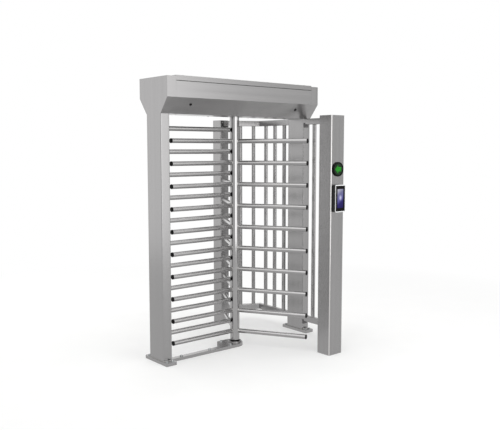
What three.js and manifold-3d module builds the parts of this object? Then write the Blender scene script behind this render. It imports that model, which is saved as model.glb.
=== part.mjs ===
// Full height turnstile: one lane of a pedestrian security gate in brushed stainless steel.
// A rotor with three wings of horizontal arms turns between a fixed comb and a barred cage,
// under a canopy that carries the top bearing, the indexing cam and the lock.
// Millimetres, +Z up. The origin is on the floor, on the rotor's axis.
// +X runs from the comb side to the cage side, and -Y is the side with the reader.

import * as THREE from "three";
import { mergeVertices } from "three/addons/utils/BufferGeometryUtils.js";
import Module from "manifold-3d";

const wasm = await Module();
wasm.setup();

// Fits shared by the whole machine
const fit = 0.3; // gap between a round piece and its seat
const seam = 0.5; // gap between neighbouring sheet covers
const overrun = 4; // how far a cutting tool runs past what it cuts

// Rotor
const sweepClearance = 72; // arm tip to the main post
const armDiameter = 38;
const armWall = 2;
const tierHeight = 180; // from one arm of a wing to the next
const armTiers = 10;
const armsPerTier = 3;
const lowestArmHeight = 122;
const shaftDiameter = 80;
const shaftWall = 4;
const shaftAboveCanopy = 127; // shaft's top over the canopy's underside

// Fixed comb
const combDiameter = 38;
const combWall = 2;
const combRise = 94; // each comb bar above the arm below it
const combToShaft = 12; // safety gap at the bar's free end
const combSocketDepth = 34; // how far a comb bar reaches into its post

// Main posts, one under each end of the canopy
const postWidth = 80;
const postDepth = 200;
const postWall = 3;
const laneHalfWidth = 712; // axis to the inner face of a main post

// Floor steel
const footThickness = 25;
const footReach = 57; // foot plate beyond the post, front and back
const footOverhang = 8; // foot plate proud of the post, left and right
const footCornerRadius = 8;
const sillReach = 80; // axis to the sill's near edge
const sillWidth = 42;
const seatHalfWidth = 90; // the sill widens to a seat under the rotor
const seatLength = 125; // axis to the seat's square end
const seatTaper = 95; // from the seat's width to the sill's
const seatSetback = 30; // centre of the seat's round end, behind the axis
const anchorHoleDiameter = 14;
const anchorFromEdge = 25; // anchor hole to the seat's edge
const anchorSpread = 50; // between the two anchors of a foot's end
const sillAnchorShares = [0.45, 0.85]; // along the sill
const seatAnchorShare = 0.8; // along the seat's straight part

// Canopy
const canopyBottom = 1945;
const chamferRise = 120; // the canopy widens over this height
const fasciaHeight = 155; // upright faces above the chamfers
const chamferRun = 95; // how far each side widens
const sheet = 2.5;
const lidProud = 8; // lid above the heads
const lidRim = 38;
const lidRailWidth = 30;
const lidRailDrop = 34;
const hingeRodDiameter = 5;
const hingeEyeWall = 2;
const hingeInset = 5; // hinge axis behind the cover's face
const hingeDrop = 7; // hinge axis below the lid's rim
const coverTopMargin = 4; // cover's top edge below the lid's rim

// Locks of the service cover
const lockFromEnd = 156.5; // each lock to its end of the cover
const lockDown = 62; // along the slope, from the kink to the lock
const lockFlangeDiameter = 23;
const lockFlangeHeight = 3;
const lockBarrelDiameter = 18;
const lockBarrelDepth = 26;
const lockTongueLength = 48;
const lockTongueWidth = 14;
const lockTongueThickness = 3; // points sideways while the cover is free
const keySlotLength = 9;
const keySlotWidth = 2.4;
const keySlotDepth = 1.6;

// Header beam that carries the mechanism
const beamHalfWidth = 90;
const beamSheet = 3;
const beamShelfHeight = 37.5;
const beamLipSpread = 118;
const beamLipHeight = 18;
const beamEndGap = 0.5;
const mouthRoom = 9; // above the beam's lips, in the heads' inner walls
const shaftPassage = 6; // radial room round the shaft in the canopy's floor
const studDiameter = 14;

// Top bearing
const housingSide = 150;
const housingFlange = 12;
const housingBossDiameter = 132;
const housingHeight = 44;
const bearingDiameter = 116;
const bearingHeight = 24;
const bearingShoulder = 14;

// Indexing cam with its roller arm
const camAboveCanopy = 55; // over the canopy's underside
const camThickness = 16;
const camMeanRadius = 72;
const camLift = 12; // lobe above, and valley below, the mean radius
const rollerDiameter = 28;
const rollerPinDiameter = 10;
const rollerClearance = 0.6;
const armStudX = 86;
const indexArmLift = 2; // arm above the cam
const indexArmThickness = 8;
const indexArmWidth = 20;
const indexHubDiameter = 22;

// Locking wheel with its two pawls
const lockWheelAboveCanopy = 85;
const lockWheelThickness = 12;
const lockWheelRadius = 82;
const lockNotches = 12;
const notchWidth = 17;
const notchDepth = 14;
const pawlClearance = 0.6;
const pawlNoseWidth = 11;
const pawlNoseLength = 14;
const pawlLeverWidth = 16;
const pawlHubDiameter = 22;
const pawlWaistShare = 0.9; // lever's half width at the hub, of the hub's radius
const pawlThickness = 10;

// Solenoids and electronics
const solenoidLength = 50;
const solenoidSide = 34;
const solenoidSpread = 52; // from the middle plane
const solenoidX = -172;
const solenoidLegThickness = 6;
const plungerDiameter = 9;
const plungerLength = 16;
const boxLength = 220;
const boxWidth = 120;
const boxHeight = 82;
const boxX = 360;
const boxCornerRadius = 8;

// Slim posts at the lane's mouths
const readerPostWidth = 150;
const readerPostDepth = 135;
const readerPostInset = 343; // post's near face to the lane's right side
const readerPostY = 628; // axis to the post's near face
const exitPostWidth = 96;
const exitPostDepth = 122;
const exitPostInset = 376;
const exitPostY = 625;
const slimPostWall = 3;
const slimPostBase = 8;
const cableHoleDiameter = 30;

// Cage of bars round the lane's outer side
const railHeight = 52;
const railWidth = 40;
const railWall = 2;
const cageBarDiameter = 36;
const cageBarWall = 2;
const lowRailBottom = 105;
const cageOffset = 24; // side grilles' middle beyond the lane's right side
const cageBendY = 520; // where the cage turns in towards the slim posts
const cageBarSpacing = 128.5;
const sideBars = 3;
const cornerBars = 2;
const rearFirstBar = 76; // from the right post's face
const frontFirstBar = 114;
const cornerFirstBar = 65; // from the bend

// Bottom pivot
const pivotDiameter = 48;
const pivotClearance = 6.7; // pin's top below the lowest arms
const pivotPocketFloor = 8;
const bushFlangeHeight = 12;
const pivotCollarDiameter = 112; // collar that rests on the floor plate
const pivotCollarHeight = 8;
const bushDrop = 9; // bush below the pin's top

// Indicator light and reader on the front slim post
const lightDiameter = 122;
const lightAboveReader = 62; // gap between the reader's top and the bezel
const lightDepth = 14;
const lensDiameter = 104;
const lensRecess = 6;
const lensCrown = 4;
const readerWidth = 112;
const readerHeight = 220;
const readerDepth = 36;
const readerBase = 1173;
const readerCornerRadius = 9;
const readerBevel = 3;

// Facets
const tubeSides = 12;
const shaftSides = 32;
const smallSides = 16;

// Finishes
const finish = (color, roughness, metalness) =>
  new THREE.MeshStandardMaterial({ color, roughness, metalness });
const brushed = finish(0xa9a7a7, 0.32, 0.9);
const polished = finish(0xb5b3b3, 0.18, 0.95);
const zinc = finish(0x9a9c9a, 0.5, 0.8);
const machined = finish(0x8e9092, 0.35, 0.9);
const blackPlastic = finish(0x141414, 0.45, 0);
const boxGrey = finish(0x6f7478, 0.6, 0);
const greenLens = finish(0x1c7a26, 0.2, 0);

const turnstile = new THREE.Group();

// A closed three.js shape becomes a solid, and a solid becomes a three.js shape again.
function solid(geometry) {
  const plain = geometry.clone();
  plain.deleteAttribute("normal");
  plain.deleteAttribute("uv");
  const merged = mergeVertices(plain);
  const vertProperties = new Float32Array(merged.attributes.position.array);
  const triVerts = new Uint32Array(merged.index.array);
  return new wasm.Manifold(new wasm.Mesh({ numProp: 3, vertProperties, triVerts }));
}

function shape(body) {
  const mesh = body.getMesh();
  const geometry = new THREE.BufferGeometry();
  geometry.setAttribute("position", new THREE.BufferAttribute(mesh.vertProperties, mesh.numProp));
  geometry.setIndex(new THREE.BufferAttribute(mesh.triVerts, 1));
  geometry.computeVertexNormals();
  return geometry;
}

const join = (first, ...others) => others.reduce((body, other) => body.add(other), first);
const cut = (first, ...tools) => tools.reduce((body, tool) => body.subtract(tool), first);

function piece(name, body, material, parent = turnstile) {
  const mesh = new THREE.Mesh(shape(body), material);
  mesh.name = name;
  parent.add(mesh);
  return mesh;
}

// Plan outlines are drawn in X and Y, and stand up from a height.
function outline(points) {
  return new THREE.Shape(points.map(([x, y]) => new THREE.Vector2(x, y)));
}

function standing(drawn, bottom, height, curveSegments = smallSides) {
  const geometry = new THREE.ExtrudeGeometry(drawn, {
    depth: height,
    bevelEnabled: false,
    curveSegments,
  });
  return solid(geometry.translate(0, 0, bottom));
}

// Section outlines are drawn in Y and Z, and run along X.
const alongX = new THREE.Matrix4().makeBasis(
  new THREE.Vector3(0, 1, 0),
  new THREE.Vector3(0, 0, 1),
  new THREE.Vector3(1, 0, 0),
);

function running(points, fromX, length) {
  const geometry = new THREE.ExtrudeGeometry(outline(points), {
    depth: length,
    bevelEnabled: false,
  });
  return solid(geometry.applyMatrix4(alongX).translate(fromX, 0, 0));
}

function block(low, high) {
  const size = high.map((value, axis) => value - low[axis]);
  const geometry = new THREE.BoxGeometry(...size);
  return solid(
    geometry.translate(...low.map((value, axis) => value + size[axis] / 2)),
  );
}

function rod(radius, bottom, height, x = 0, y = 0, sides = smallSides) {
  const geometry = new THREE.CylinderGeometry(radius, radius, height, sides);
  geometry.rotateX(Math.PI / 2);
  return solid(geometry.translate(x, y, bottom + height / 2));
}

// A round bar that lies in plan at an angle, from one distance of the axis to another.
function spoke(radius, from, to, height, angle, sides = tubeSides) {
  const geometry = new THREE.CylinderGeometry(radius, radius, to - from, sides);
  geometry.rotateZ(-Math.PI / 2).translate((from + to) / 2, 0, 0);
  return solid(geometry.rotateZ(angle).translate(0, 0, height));
}

function roundedRectangle(width, depth, radius) {
  const x = width / 2;
  const y = depth / 2;
  const drawn = new THREE.Shape();
  drawn.moveTo(-x + radius, -y);
  drawn.lineTo(x - radius, -y);
  drawn.absarc(x - radius, -y + radius, radius, -Math.PI / 2, 0);
  drawn.lineTo(x, y - radius);
  drawn.absarc(x - radius, y - radius, radius, 0, Math.PI / 2);
  drawn.lineTo(-x + radius, y);
  drawn.absarc(-x + radius, y - radius, radius, Math.PI / 2, Math.PI);
  drawn.lineTo(-x, -y + radius);
  drawn.absarc(-x + radius, -y + radius, radius, Math.PI, 1.5 * Math.PI);
  return drawn;
}

// A convex outline drawn anticlockwise, moved inwards by a wall.
function inset(points, wall) {
  const normal = (from, to) => {
    const along = new THREE.Vector2(to[0] - from[0], to[1] - from[1]).normalize();
    return new THREE.Vector2(-along.y, along.x);
  };
  return points.map((point, i) => {
    const before = normal(points[(i + points.length - 1) % points.length], point);
    const after = normal(point, points[(i + 1) % points.length]);
    const mitre = before.clone().add(after).divideScalar(1 + before.dot(after));
    return [point[0] + mitre.x * wall, point[1] + mitre.y * wall];
  });
}

// Sizes that several pieces share
const armRadius = armDiameter / 2;
const combRadius = combDiameter / 2;
const shaftRadius = shaftDiameter / 2;
const postOuter = laneHalfWidth + postWidth;
const postMiddle = laneHalfWidth + postWidth / 2;
const sweepRadius = laneHalfWidth - sweepClearance;
const postHalfDepth = postDepth / 2;
const footInner = laneHalfWidth - footOverhang;
const footLength = postDepth + 2 * footReach;
const canopyKink = canopyBottom + chamferRise;
const headTop = canopyKink + fasciaHeight;
const lidTop = headTop + lidProud;
const canopyHalfDepth = postHalfDepth + chamferRun;
const shaftTop = canopyBottom + shaftAboveCanopy;
const camBottom = canopyBottom + camAboveCanopy;
const lockWheelBottom = canopyBottom + lockWheelAboveCanopy;
const beamBase = canopyBottom + sheet;
const beamFloor = beamBase + beamSheet;
const shelfTop = beamBase + beamShelfHeight + beamSheet;
const lipTop = beamBase + beamShelfHeight + beamLipHeight;
const studSpread = (beamHalfWidth + beamLipSpread - beamSheet) / 2;
const passageRadius = shaftRadius + shaftPassage;
const rimBottom = lidTop - lidRim;
const hingeY = -canopyHalfDepth + hingeInset;
const hingeZ = rimBottom - hingeDrop;
const hingeRadius = hingeRodDiameter / 2;
const combLowest = lowestArmHeight + combRise;
const combHeights = Array.from({ length: armTiers }, (_, i) => combLowest + i * tierHeight);
const armHeights = Array.from({ length: armTiers }, (_, i) => lowestArmHeight + i * tierHeight);
const turn = (2 * Math.PI) / armsPerTier;
const armAngles = Array.from({ length: armsPerTier }, (_, i) => Math.PI + i * turn);

// Main posts: open box tubes, with sockets for the comb bars in the left one.
function boxTube(width, depth, wall, bottom, height) {
  const outer = standing(roundedRectangle(width, depth, wall), bottom, height, 2);
  const bore = block(
    [-width / 2 + wall, -depth / 2 + wall, bottom - overrun],
    [width / 2 - wall, depth / 2 - wall, bottom + height + overrun],
  );
  return cut(outer, bore);
}

const postTube = boxTube(
  postWidth,
  postDepth,
  postWall,
  footThickness,
  canopyBottom - footThickness,
);
const combSockets = combHeights.map((height) =>
  spoke(combRadius + fit, laneHalfWidth - overrun, laneHalfWidth + postWall + overrun, height, Math.PI),
);
piece("left_post", cut(postTube.translate([-postMiddle, 0, 0]), ...combSockets), brushed);
piece("right_post", postTube.translate([postMiddle, 0, 0]), brushed);

// Foot plates under the main posts, each with four anchor holes.
function footPlate(middle) {
  const width = postWidth + 2 * footOverhang;
  const plate = standing(roundedRectangle(width, footLength, footCornerRadius), 0, footThickness, 4);
  const holes = [-1, 1].flatMap((end) =>
    [-1, 1].map((side) =>
      rod(
        anchorHoleDiameter / 2,
        -overrun,
        footThickness + 2 * overrun,
        (side * anchorSpread) / 2,
        end * (postHalfDepth + footReach / 2),
        tubeSides,
      ),
    ),
  );
  return cut(plate, ...holes).translate([middle, 0, 0]);
}
piece("left_foot_plate", footPlate(-postMiddle), brushed);
piece("right_foot_plate", footPlate(postMiddle), brushed);

// Floor plate: a sill from the left foot, which widens to a seat with the pivot's pocket.
function floorPlate() {
  const drawn = new THREE.Shape();
  const sillFarEdge = sillWidth - sillReach;
  drawn.moveTo(-footInner, -sillReach);
  drawn.lineTo(-seatLength, -seatHalfWidth);
  drawn.lineTo(-seatSetback, -seatHalfWidth);
  drawn.absarc(-seatSetback, 0, seatHalfWidth, -Math.PI / 2, Math.PI / 2);
  drawn.lineTo(-seatLength, seatHalfWidth);
  drawn.lineTo(-seatLength - seatTaper, sillFarEdge);
  drawn.lineTo(-footInner, sillFarEdge);
  const pocket = rod(pivotDiameter / 2 + fit, pivotPocketFloor, footThickness, 0, 0, shaftSides);
  const places = [
    ...sillAnchorShares.map((share) => [-footInner * share, sillWidth / 2 - sillReach]),
    ...[-1, 1].map((side) => [-seatLength * seatAnchorShare, side * (seatHalfWidth - anchorFromEdge)]),
  ];
  const holes = places.map(([x, y]) =>
    rod(anchorHoleDiameter / 2, -overrun, footThickness + 2 * overrun, x, y, tubeSides),
  );
  return cut(standing(drawn, 0, footThickness), pocket, ...holes);
}
piece("floor_plate", floorPlate(), brushed);

// Comb bars: tubes held in the left post, each ending just short of the shaft.
function combBar(height) {
  const from = shaftRadius + combToShaft;
  const to = laneHalfWidth + combSocketDepth;
  const tube = spoke(combRadius, from, to, height, Math.PI);
  return cut(tube, spoke(combRadius - combWall, from - overrun, to + overrun, height, Math.PI));
}
combHeights.forEach((height, i) => {
  piece(`comb_bar_${String(i + 1).padStart(2, "0")}`, combBar(height), brushed);
});

// Bottom pivot: a fixed pin in the floor plate's pocket, and the bush that turns on its collar.
const pivotTop = lowestArmHeight - armRadius - pivotClearance;
const pivotBottom = pivotPocketFloor + fit;
const collarBottom = footThickness + fit;
const collarTop = collarBottom + pivotCollarHeight;
const pin = rod(pivotDiameter / 2, pivotBottom, pivotTop - pivotBottom, 0, 0, shaftSides);
const collar = rod(pivotCollarDiameter / 2, collarBottom, pivotCollarHeight, 0, 0, shaftSides);
piece("floor_pivot", join(pin, collar), machined);

function lathed(profile, sides) {
  const points = profile.map(([radius, height]) => new THREE.Vector2(radius, height));
  points.push(points[0].clone());
  const geometry = new THREE.LatheGeometry(points, sides);
  return solid(geometry.rotateX(Math.PI / 2));
}

const rotor = new THREE.Group();
turnstile.add(rotor);
const shaftBore = shaftRadius - shaftWall;
const bushFlangeBottom = collarTop + fit;
const shaftBottom = bushFlangeBottom + bushFlangeHeight + fit;
const bushBore = pivotDiameter / 2 + fit;
const bushTop = pivotTop - bushDrop;
const bush = lathed(
  [
    [bushBore, bushFlangeBottom],
    [shaftRadius, bushFlangeBottom],
    [shaftRadius, bushFlangeBottom + bushFlangeHeight],
    [shaftBore - fit, bushFlangeBottom + bushFlangeHeight],
    [shaftBore - fit, bushTop],
    [bushBore, bushTop],
  ],
  shaftSides,
);
piece("floor_bush", bush, blackPlastic, rotor);

// Shaft: one tube with a hole for every arm.
function shaft() {
  const tube = cut(
    rod(shaftRadius, shaftBottom, shaftTop - shaftBottom, 0, 0, shaftSides),
    rod(shaftBore, shaftBottom - overrun, shaftTop + 2 * overrun, 0, 0, shaftSides),
  );
  const holes = armHeights.flatMap((height) =>
    armAngles.map((angle) =>
      spoke(armRadius + fit, shaftBore / 2, shaftRadius + overrun, height, angle),
    ),
  );
  return cut(tube, ...holes);
}
piece("rotor_shaft", shaft(), polished, rotor);

// Arm tiers: three tubes that pass through the shaft's wall and meet on its axis.
function armTier(height) {
  const outers = armAngles.map((angle) => spoke(armRadius, 0, sweepRadius, height, angle));
  const bores = armAngles.map((angle) =>
    spoke(armRadius - armWall, 0, sweepRadius + overrun, height, angle),
  );
  return cut(join(...outers), ...bores);
}
armHeights.forEach((height, i) => {
  piece(`arm_tier_${String(i + 1).padStart(2, "0")}`, armTier(height), brushed, rotor);
});

// Canopy heads: closed sheet casings on top of the main posts, open where the beam enters.
const canopySection = [
  [-postHalfDepth, canopyBottom],
  [postHalfDepth, canopyBottom],
  [canopyHalfDepth, canopyKink],
  [canopyHalfDepth, headTop],
  [-canopyHalfDepth, headTop],
  [-canopyHalfDepth, canopyKink],
];
const canopyInner = inset(canopySection, sheet);

function head(side) {
  const low = Math.min(side * laneHalfWidth, side * postOuter);
  const casing = running(canopySection, low, postWidth);
  const hollow = running(canopyInner, low + sheet, postWidth - 2 * sheet);
  const mouthX = side * laneHalfWidth;
  const mouth = running(canopyInner, mouthX - overrun, 2 * overrun).intersect(
    block(
      [mouthX - 2 * overrun, -canopyHalfDepth, canopyBottom],
      [mouthX + 2 * overrun, canopyHalfDepth, lipTop + mouthRoom],
    ),
  );
  const cableWay = block(
    [side * postMiddle - postWidth / 4, -postHalfDepth / 2, canopyBottom - overrun],
    [side * postMiddle + postWidth / 4, postHalfDepth / 2, canopyBottom + overrun],
  );
  const hingeHole = alongXRod(hingeRadius + fit, mouthX - overrun, 2 * overrun, hingeY, hingeZ);
  return cut(casing, hollow, mouth, cableWay, hingeHole);
}

function alongXRod(radius, fromX, length, y, z, sides = smallSides) {
  const geometry = new THREE.CylinderGeometry(radius, radius, length, sides);
  geometry.rotateZ(-Math.PI / 2);
  return solid(geometry.translate(fromX + length / 2, y, z));
}
piece("left_head", head(-1), brushed);
piece("right_head", head(1), brushed);

// Header beam: a hat channel between the heads, with studs for the mechanism's levers.
const beamHalfLength = postOuter - sheet - beamEndGap;
const beamShelf = beamBase + beamShelfHeight;
const beamHalf = [
  [beamHalfWidth, beamBase],
  [beamHalfWidth, beamShelf],
  [beamLipSpread, beamShelf],
  [beamLipSpread, lipTop],
  [beamLipSpread - beamSheet, lipTop],
  [beamLipSpread - beamSheet, shelfTop],
  [beamHalfWidth - beamSheet, shelfTop],
  [beamHalfWidth - beamSheet, beamFloor],
];
const beamSection = [...beamHalf, ...beamHalf.map(([y, z]) => [-y, z]).reverse()];
const armStud = [armStudX, -studSpread];
const noseAngle = Math.PI - (2 * Math.PI) / lockNotches;
const noseRadius = lockWheelRadius + pawlClearance;
const pawlInward = new THREE.Vector2(-Math.cos(noseAngle), -Math.sin(noseAngle));
const pawlAlong = new THREE.Vector2(pawlInward.y, -pawlInward.x);
const noseTip = pawlInward.clone().multiplyScalar(-noseRadius);
const pawlReach = (noseTip.y - studSpread) / pawlAlong.y;
const pawlPivot = noseTip.clone().addScaledVector(pawlAlong, -pawlReach);
const indexArmBottom = camBottom + camThickness + indexArmLift;
const indexArmTop = indexArmBottom + indexArmThickness;
const pawlBottom = lockWheelBottom + (lockWheelThickness - pawlThickness) / 2;
const pawlTop = pawlBottom + pawlThickness;

function headerBeam() {
  const channel = running(beamSection, -beamHalfLength, 2 * beamHalfLength);
  const passage = rod(passageRadius, beamBase - overrun, 3 * overrun, 0, 0, shaftSides);
  const stud = ([x, y], top) => rod(studDiameter / 2, beamShelf, top - beamShelf, x, y);
  return join(
    cut(channel, passage),
    stud(armStud, indexArmTop),
    stud([pawlPivot.x, -pawlPivot.y], pawlTop),
    stud([pawlPivot.x, pawlPivot.y], pawlTop),
  );
}
piece("header_beam", headerBeam(), zinc);

// Soffit: the flat sheet under the beam, between the heads.
const chamferLength = Math.hypot(chamferRun, chamferRise);
const sheetAcross = (sheet * chamferLength) / chamferRise;
const soffitHalfWidth = postHalfDepth - sheetAcross - 3 * seam;
const soffit = cut(
  block(
    [-laneHalfWidth + fit, -soffitHalfWidth, canopyBottom],
    [laneHalfWidth - fit, soffitHalfWidth, canopyBottom + sheet],
  ),
  rod(passageRadius, canopyBottom - overrun, 3 * overrun, 0, 0, shaftSides),
);
piece("soffit_panel", soffit, brushed);

// Covers: one folded sheet on each side. The front one swings up on a rod, and has two locks.
const coverTop = rimBottom - coverTopMargin;
const innerKink = canopyInner[5];
const coverSection = [
  [-canopyHalfDepth, coverTop],
  [-canopyHalfDepth, canopyKink],
  [-postHalfDepth, canopyBottom],
  [-postHalfDepth + sheetAcross, canopyBottom],
  innerKink,
  [-canopyHalfDepth + sheet, coverTop],
];
const coverHalfLength = laneHalfWidth - seam;
const lockSpread = coverHalfLength - lockFromEnd;

const frontDoor = new THREE.Group();
turnstile.add(frontDoor);
const slopeDown = new THREE.Vector3(0, chamferRun, -chamferRise).normalize();
const slopeOut = new THREE.Vector3(0, -chamferRise, -chamferRun).normalize();
const lockPlace = (x) =>
  new THREE.Matrix4()
    .makeBasis(new THREE.Vector3(1, 0, 0), slopeDown.clone().negate(), slopeOut)
    .setPosition(
      x,
      -canopyHalfDepth + slopeDown.y * lockDown,
      canopyKink + slopeDown.z * lockDown,
    );

// Pieces of a lock are drawn with their axis on Z, out of the cover, and are then placed.
function placed(body, matrix) {
  return solid(shape(body).applyMatrix4(matrix));
}

function coverSheet() {
  const folded = running(coverSection, -coverHalfLength, 2 * coverHalfLength);
  const eye = alongXRod(
    hingeRadius + fit + hingeEyeWall,
    -coverHalfLength,
    2 * coverHalfLength,
    hingeY,
    hingeZ,
  );
  const bore = alongXRod(
    hingeRadius + fit,
    -coverHalfLength - overrun,
    2 * (coverHalfLength + overrun),
    hingeY,
    hingeZ,
  );
  const lockHole = rod(lockBarrelDiameter / 2 + fit, -sheet - overrun, sheet + 2 * overrun);
  return cut(
    join(folded, eye),
    bore,
    placed(lockHole, lockPlace(-lockSpread)),
    placed(lockHole, lockPlace(lockSpread)),
  );
}
piece("front_cover", coverSheet(), brushed, frontDoor);
piece(
  "hinge_rod",
  alongXRod(
    hingeRadius,
    -laneHalfWidth - sheet / 2,
    2 * laneHalfWidth + sheet,
    hingeY,
    hingeZ,
    tubeSides,
  ),
  machined,
);

function coverLock() {
  const flange = rod(lockFlangeDiameter / 2, fit, lockFlangeHeight);
  const barrel = rod(lockBarrelDiameter / 2, -lockBarrelDepth, lockBarrelDepth + lockFlangeHeight);
  const tongue = block(
    [-lockTongueWidth / 2, -lockTongueWidth / 2, -lockBarrelDepth - lockTongueThickness],
    [lockTongueLength, lockTongueWidth / 2, -lockBarrelDepth],
  );
  const slot = block(
    [-keySlotWidth / 2, -keySlotLength / 2, lockFlangeHeight - keySlotDepth],
    [keySlotWidth / 2, keySlotLength / 2, lockFlangeHeight + overrun],
  );
  return cut(join(flange, barrel, tongue), slot);
}
piece("cover_lock_left", placed(coverLock(), lockPlace(-lockSpread)), blackPlastic, frontDoor);
piece("cover_lock_right", placed(coverLock(), lockPlace(lockSpread)), blackPlastic, frontDoor);

const rearSection = coverSection.map(([y, z]) => [-y, z]).reverse();
piece("rear_cover", running(rearSection, -coverHalfLength, 2 * coverHalfLength), brushed);

// Lid: a shallow tray between the heads, on two angle rails.
const lid = cut(
  block([-coverHalfLength, -canopyHalfDepth, rimBottom], [coverHalfLength, canopyHalfDepth, lidTop]),
  block(
    [-coverHalfLength + sheet, -canopyHalfDepth + sheet, rimBottom - overrun],
    [coverHalfLength - sheet, canopyHalfDepth - sheet, lidTop - sheet],
  ),
);
piece("lid", lid, brushed);

function lidRail(side) {
  const face = canopyHalfDepth - sheet - seam;
  const top = lidTop - sheet;
  const section = [
    [face, top],
    [face - lidRailWidth, top],
    [face - lidRailWidth, top - beamSheet],
    [face - beamSheet, top - beamSheet],
    [face - beamSheet, top - lidRailDrop],
    [face, top - lidRailDrop],
  ];
  const turned = side > 0 ? section : section.map(([y, z]) => [-y, z]).reverse();
  const halfLength = laneHalfWidth - sheet - 2 * seam;
  return running(turned, -halfLength, 2 * halfLength);
}
piece("lid_rail_front", lidRail(-1), zinc);
piece("lid_rail_rear", lidRail(1), zinc);

// Top bearing in its flanged housing.
const housing = cut(
  join(
    standing(roundedRectangle(housingSide, housingSide, housingFlange), beamFloor, housingFlange, 3),
    rod(housingBossDiameter / 2, beamFloor, housingHeight, 0, 0, shaftSides),
  ),
  rod(passageRadius, beamFloor - overrun, housingHeight + 2 * overrun, 0, 0, shaftSides),
  rod(bearingDiameter / 2 + fit, beamFloor + bearingShoulder, housingHeight, 0, 0, shaftSides),
);
piece("bearing_housing", housing, machined);

function ring(inner, outer, bottom, height, x = 0, y = 0, sides = shaftSides) {
  return cut(
    rod(outer, bottom, height, x, y, sides),
    rod(inner, bottom - overrun, height + 2 * overrun, x, y, sides),
  );
}
piece(
  "top_bearing",
  ring(shaftRadius + fit, bearingDiameter / 2, beamFloor + bearingShoulder, bearingHeight),
  polished,
);

// Indexing cam: three valleys, one for each wing, in which a sprung roller settles.
function indexCam() {
  const steps = 4 * tubeSides;
  const points = Array.from({ length: steps }, (_, i) => {
    const angle = (2 * Math.PI * i) / steps;
    const radius = camMeanRadius - camLift * Math.cos(armsPerTier * angle);
    return [radius * Math.cos(angle), radius * Math.sin(angle)];
  });
  return cut(
    standing(outline(points), camBottom, camThickness),
    rod(shaftRadius + fit, camBottom - overrun, camThickness + 2 * overrun, 0, 0, shaftSides),
  );
}
piece("index_cam", indexCam(), machined, rotor);

// Roller arm, held back clear of the cam's lobes.
const indexSwing = new THREE.Group();
turnstile.add(indexSwing);
const rollerX = camMeanRadius + camLift + rollerClearance + rollerDiameter / 2;
function indexArm() {
  const [x, y] = armStud;
  const hubBottom = shelfTop + fit;
  const hub = rod(indexHubDiameter / 2, hubBottom, indexArmTop - hubBottom, x, y);
  const pad = rod(indexArmWidth / 2, indexArmBottom, indexArmThickness, rollerX, 0);
  const long = new THREE.Vector2(rollerX - x, -y);
  const across = new THREE.Vector2(-long.y, long.x).setLength(indexArmWidth / 2);
  const plate = outline([
    [x - across.x, y - across.y],
    [rollerX - across.x, -across.y],
    [rollerX + across.x, across.y],
    [x + across.x, y + across.y],
  ]);
  const pin = rod(rollerPinDiameter / 2, camBottom, indexArmTop - camBottom, rollerX, 0);
  const bore = rod(studDiameter / 2 + fit, hubBottom - overrun, indexArmTop, x, y);
  return cut(join(hub, pad, standing(plate, indexArmBottom, indexArmThickness), pin), bore);
}
piece("index_arm", indexArm(), zinc, indexSwing);
piece(
  "index_roller",
  ring(rollerPinDiameter / 2 + fit, rollerDiameter / 2, camBottom + fit, camThickness, rollerX),
  blackPlastic,
  indexSwing,
);

// Locking wheel on the shaft's head.
function lockWheel() {
  const disc = ring(shaftRadius + fit, lockWheelRadius, lockWheelBottom, lockWheelThickness);
  const step = (2 * Math.PI) / lockNotches;
  const notches = Array.from({ length: lockNotches }, (_, i) => {
    const tool = new THREE.BoxGeometry(2 * notchDepth, notchWidth, lockWheelThickness + 2 * overrun);
    tool.translate(lockWheelRadius, 0, lockWheelBottom + lockWheelThickness / 2);
    return solid(tool.rotateZ(i * step));
  });
  return cut(disc, ...notches);
}
piece("lock_wheel", lockWheel(), machined, rotor);

// Pawls: the nose faces a notch of the wheel, and the hub turns on a stud of the beam.
function lockPawl() {
  const half = pawlNoseWidth / 2;
  const hubRadius = pawlHubDiameter / 2;
  const waist = hubRadius * pawlWaistShare;
  const lever = [
    [0, waist],
    [pawlReach - half, -pawlNoseLength],
    [pawlReach - half, 0],
    [pawlReach + half, 0],
    [pawlReach + half, -pawlNoseLength - pawlLeverWidth],
    [0, -waist],
  ].map(([along, inward]) =>
    pawlPivot.clone().addScaledVector(pawlAlong, along).addScaledVector(pawlInward, inward),
  );
  const hubBottom = shelfTop + fit;
  const { x, y } = pawlPivot;
  return cut(
    join(
      standing(new THREE.Shape(lever), pawlBottom, pawlThickness),
      rod(hubRadius, hubBottom, pawlTop - hubBottom, x, y),
    ),
    rod(studDiameter / 2 + fit, hubBottom - overrun, pawlTop, x, y),
  );
}
piece("lock_pawl_front", lockPawl().mirror([0, 1, 0]), machined);
piece("lock_pawl_rear", lockPawl(), machined);

// Solenoids on stands, each pointing its plunger at a pawl's back.
function solenoid(side) {
  const y = side * solenoidSpread;
  const middle = pawlBottom + pawlThickness / 2;
  const half = solenoidSide / 2;
  const body = block(
    [solenoidX, y - half, middle - half],
    [solenoidX + solenoidLength, y + half, middle + half],
  );
  const leg = block(
    [solenoidX, y - half, beamFloor],
    [solenoidX + solenoidLegThickness, y + half, middle],
  );
  const toe = block(
    [solenoidX, y - half, beamFloor],
    [solenoidX + solenoidLength, y + half, beamFloor + solenoidLegThickness],
  );
  const plunger = alongXRod(
    plungerDiameter / 2,
    solenoidX + solenoidLength - overrun,
    plungerLength + overrun,
    y,
    middle,
  );
  return join(body, leg, toe, plunger);
}
piece("lock_solenoid_front", solenoid(-1), zinc);
piece("lock_solenoid_rear", solenoid(1), zinc);

// Control box on the beam.
piece(
  "control_box",
  standing(roundedRectangle(boxLength, boxWidth, boxCornerRadius), beamFloor, boxHeight, 3).translate(
    [boxX, 0, 0],
  ),
  boxGrey,
);

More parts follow.
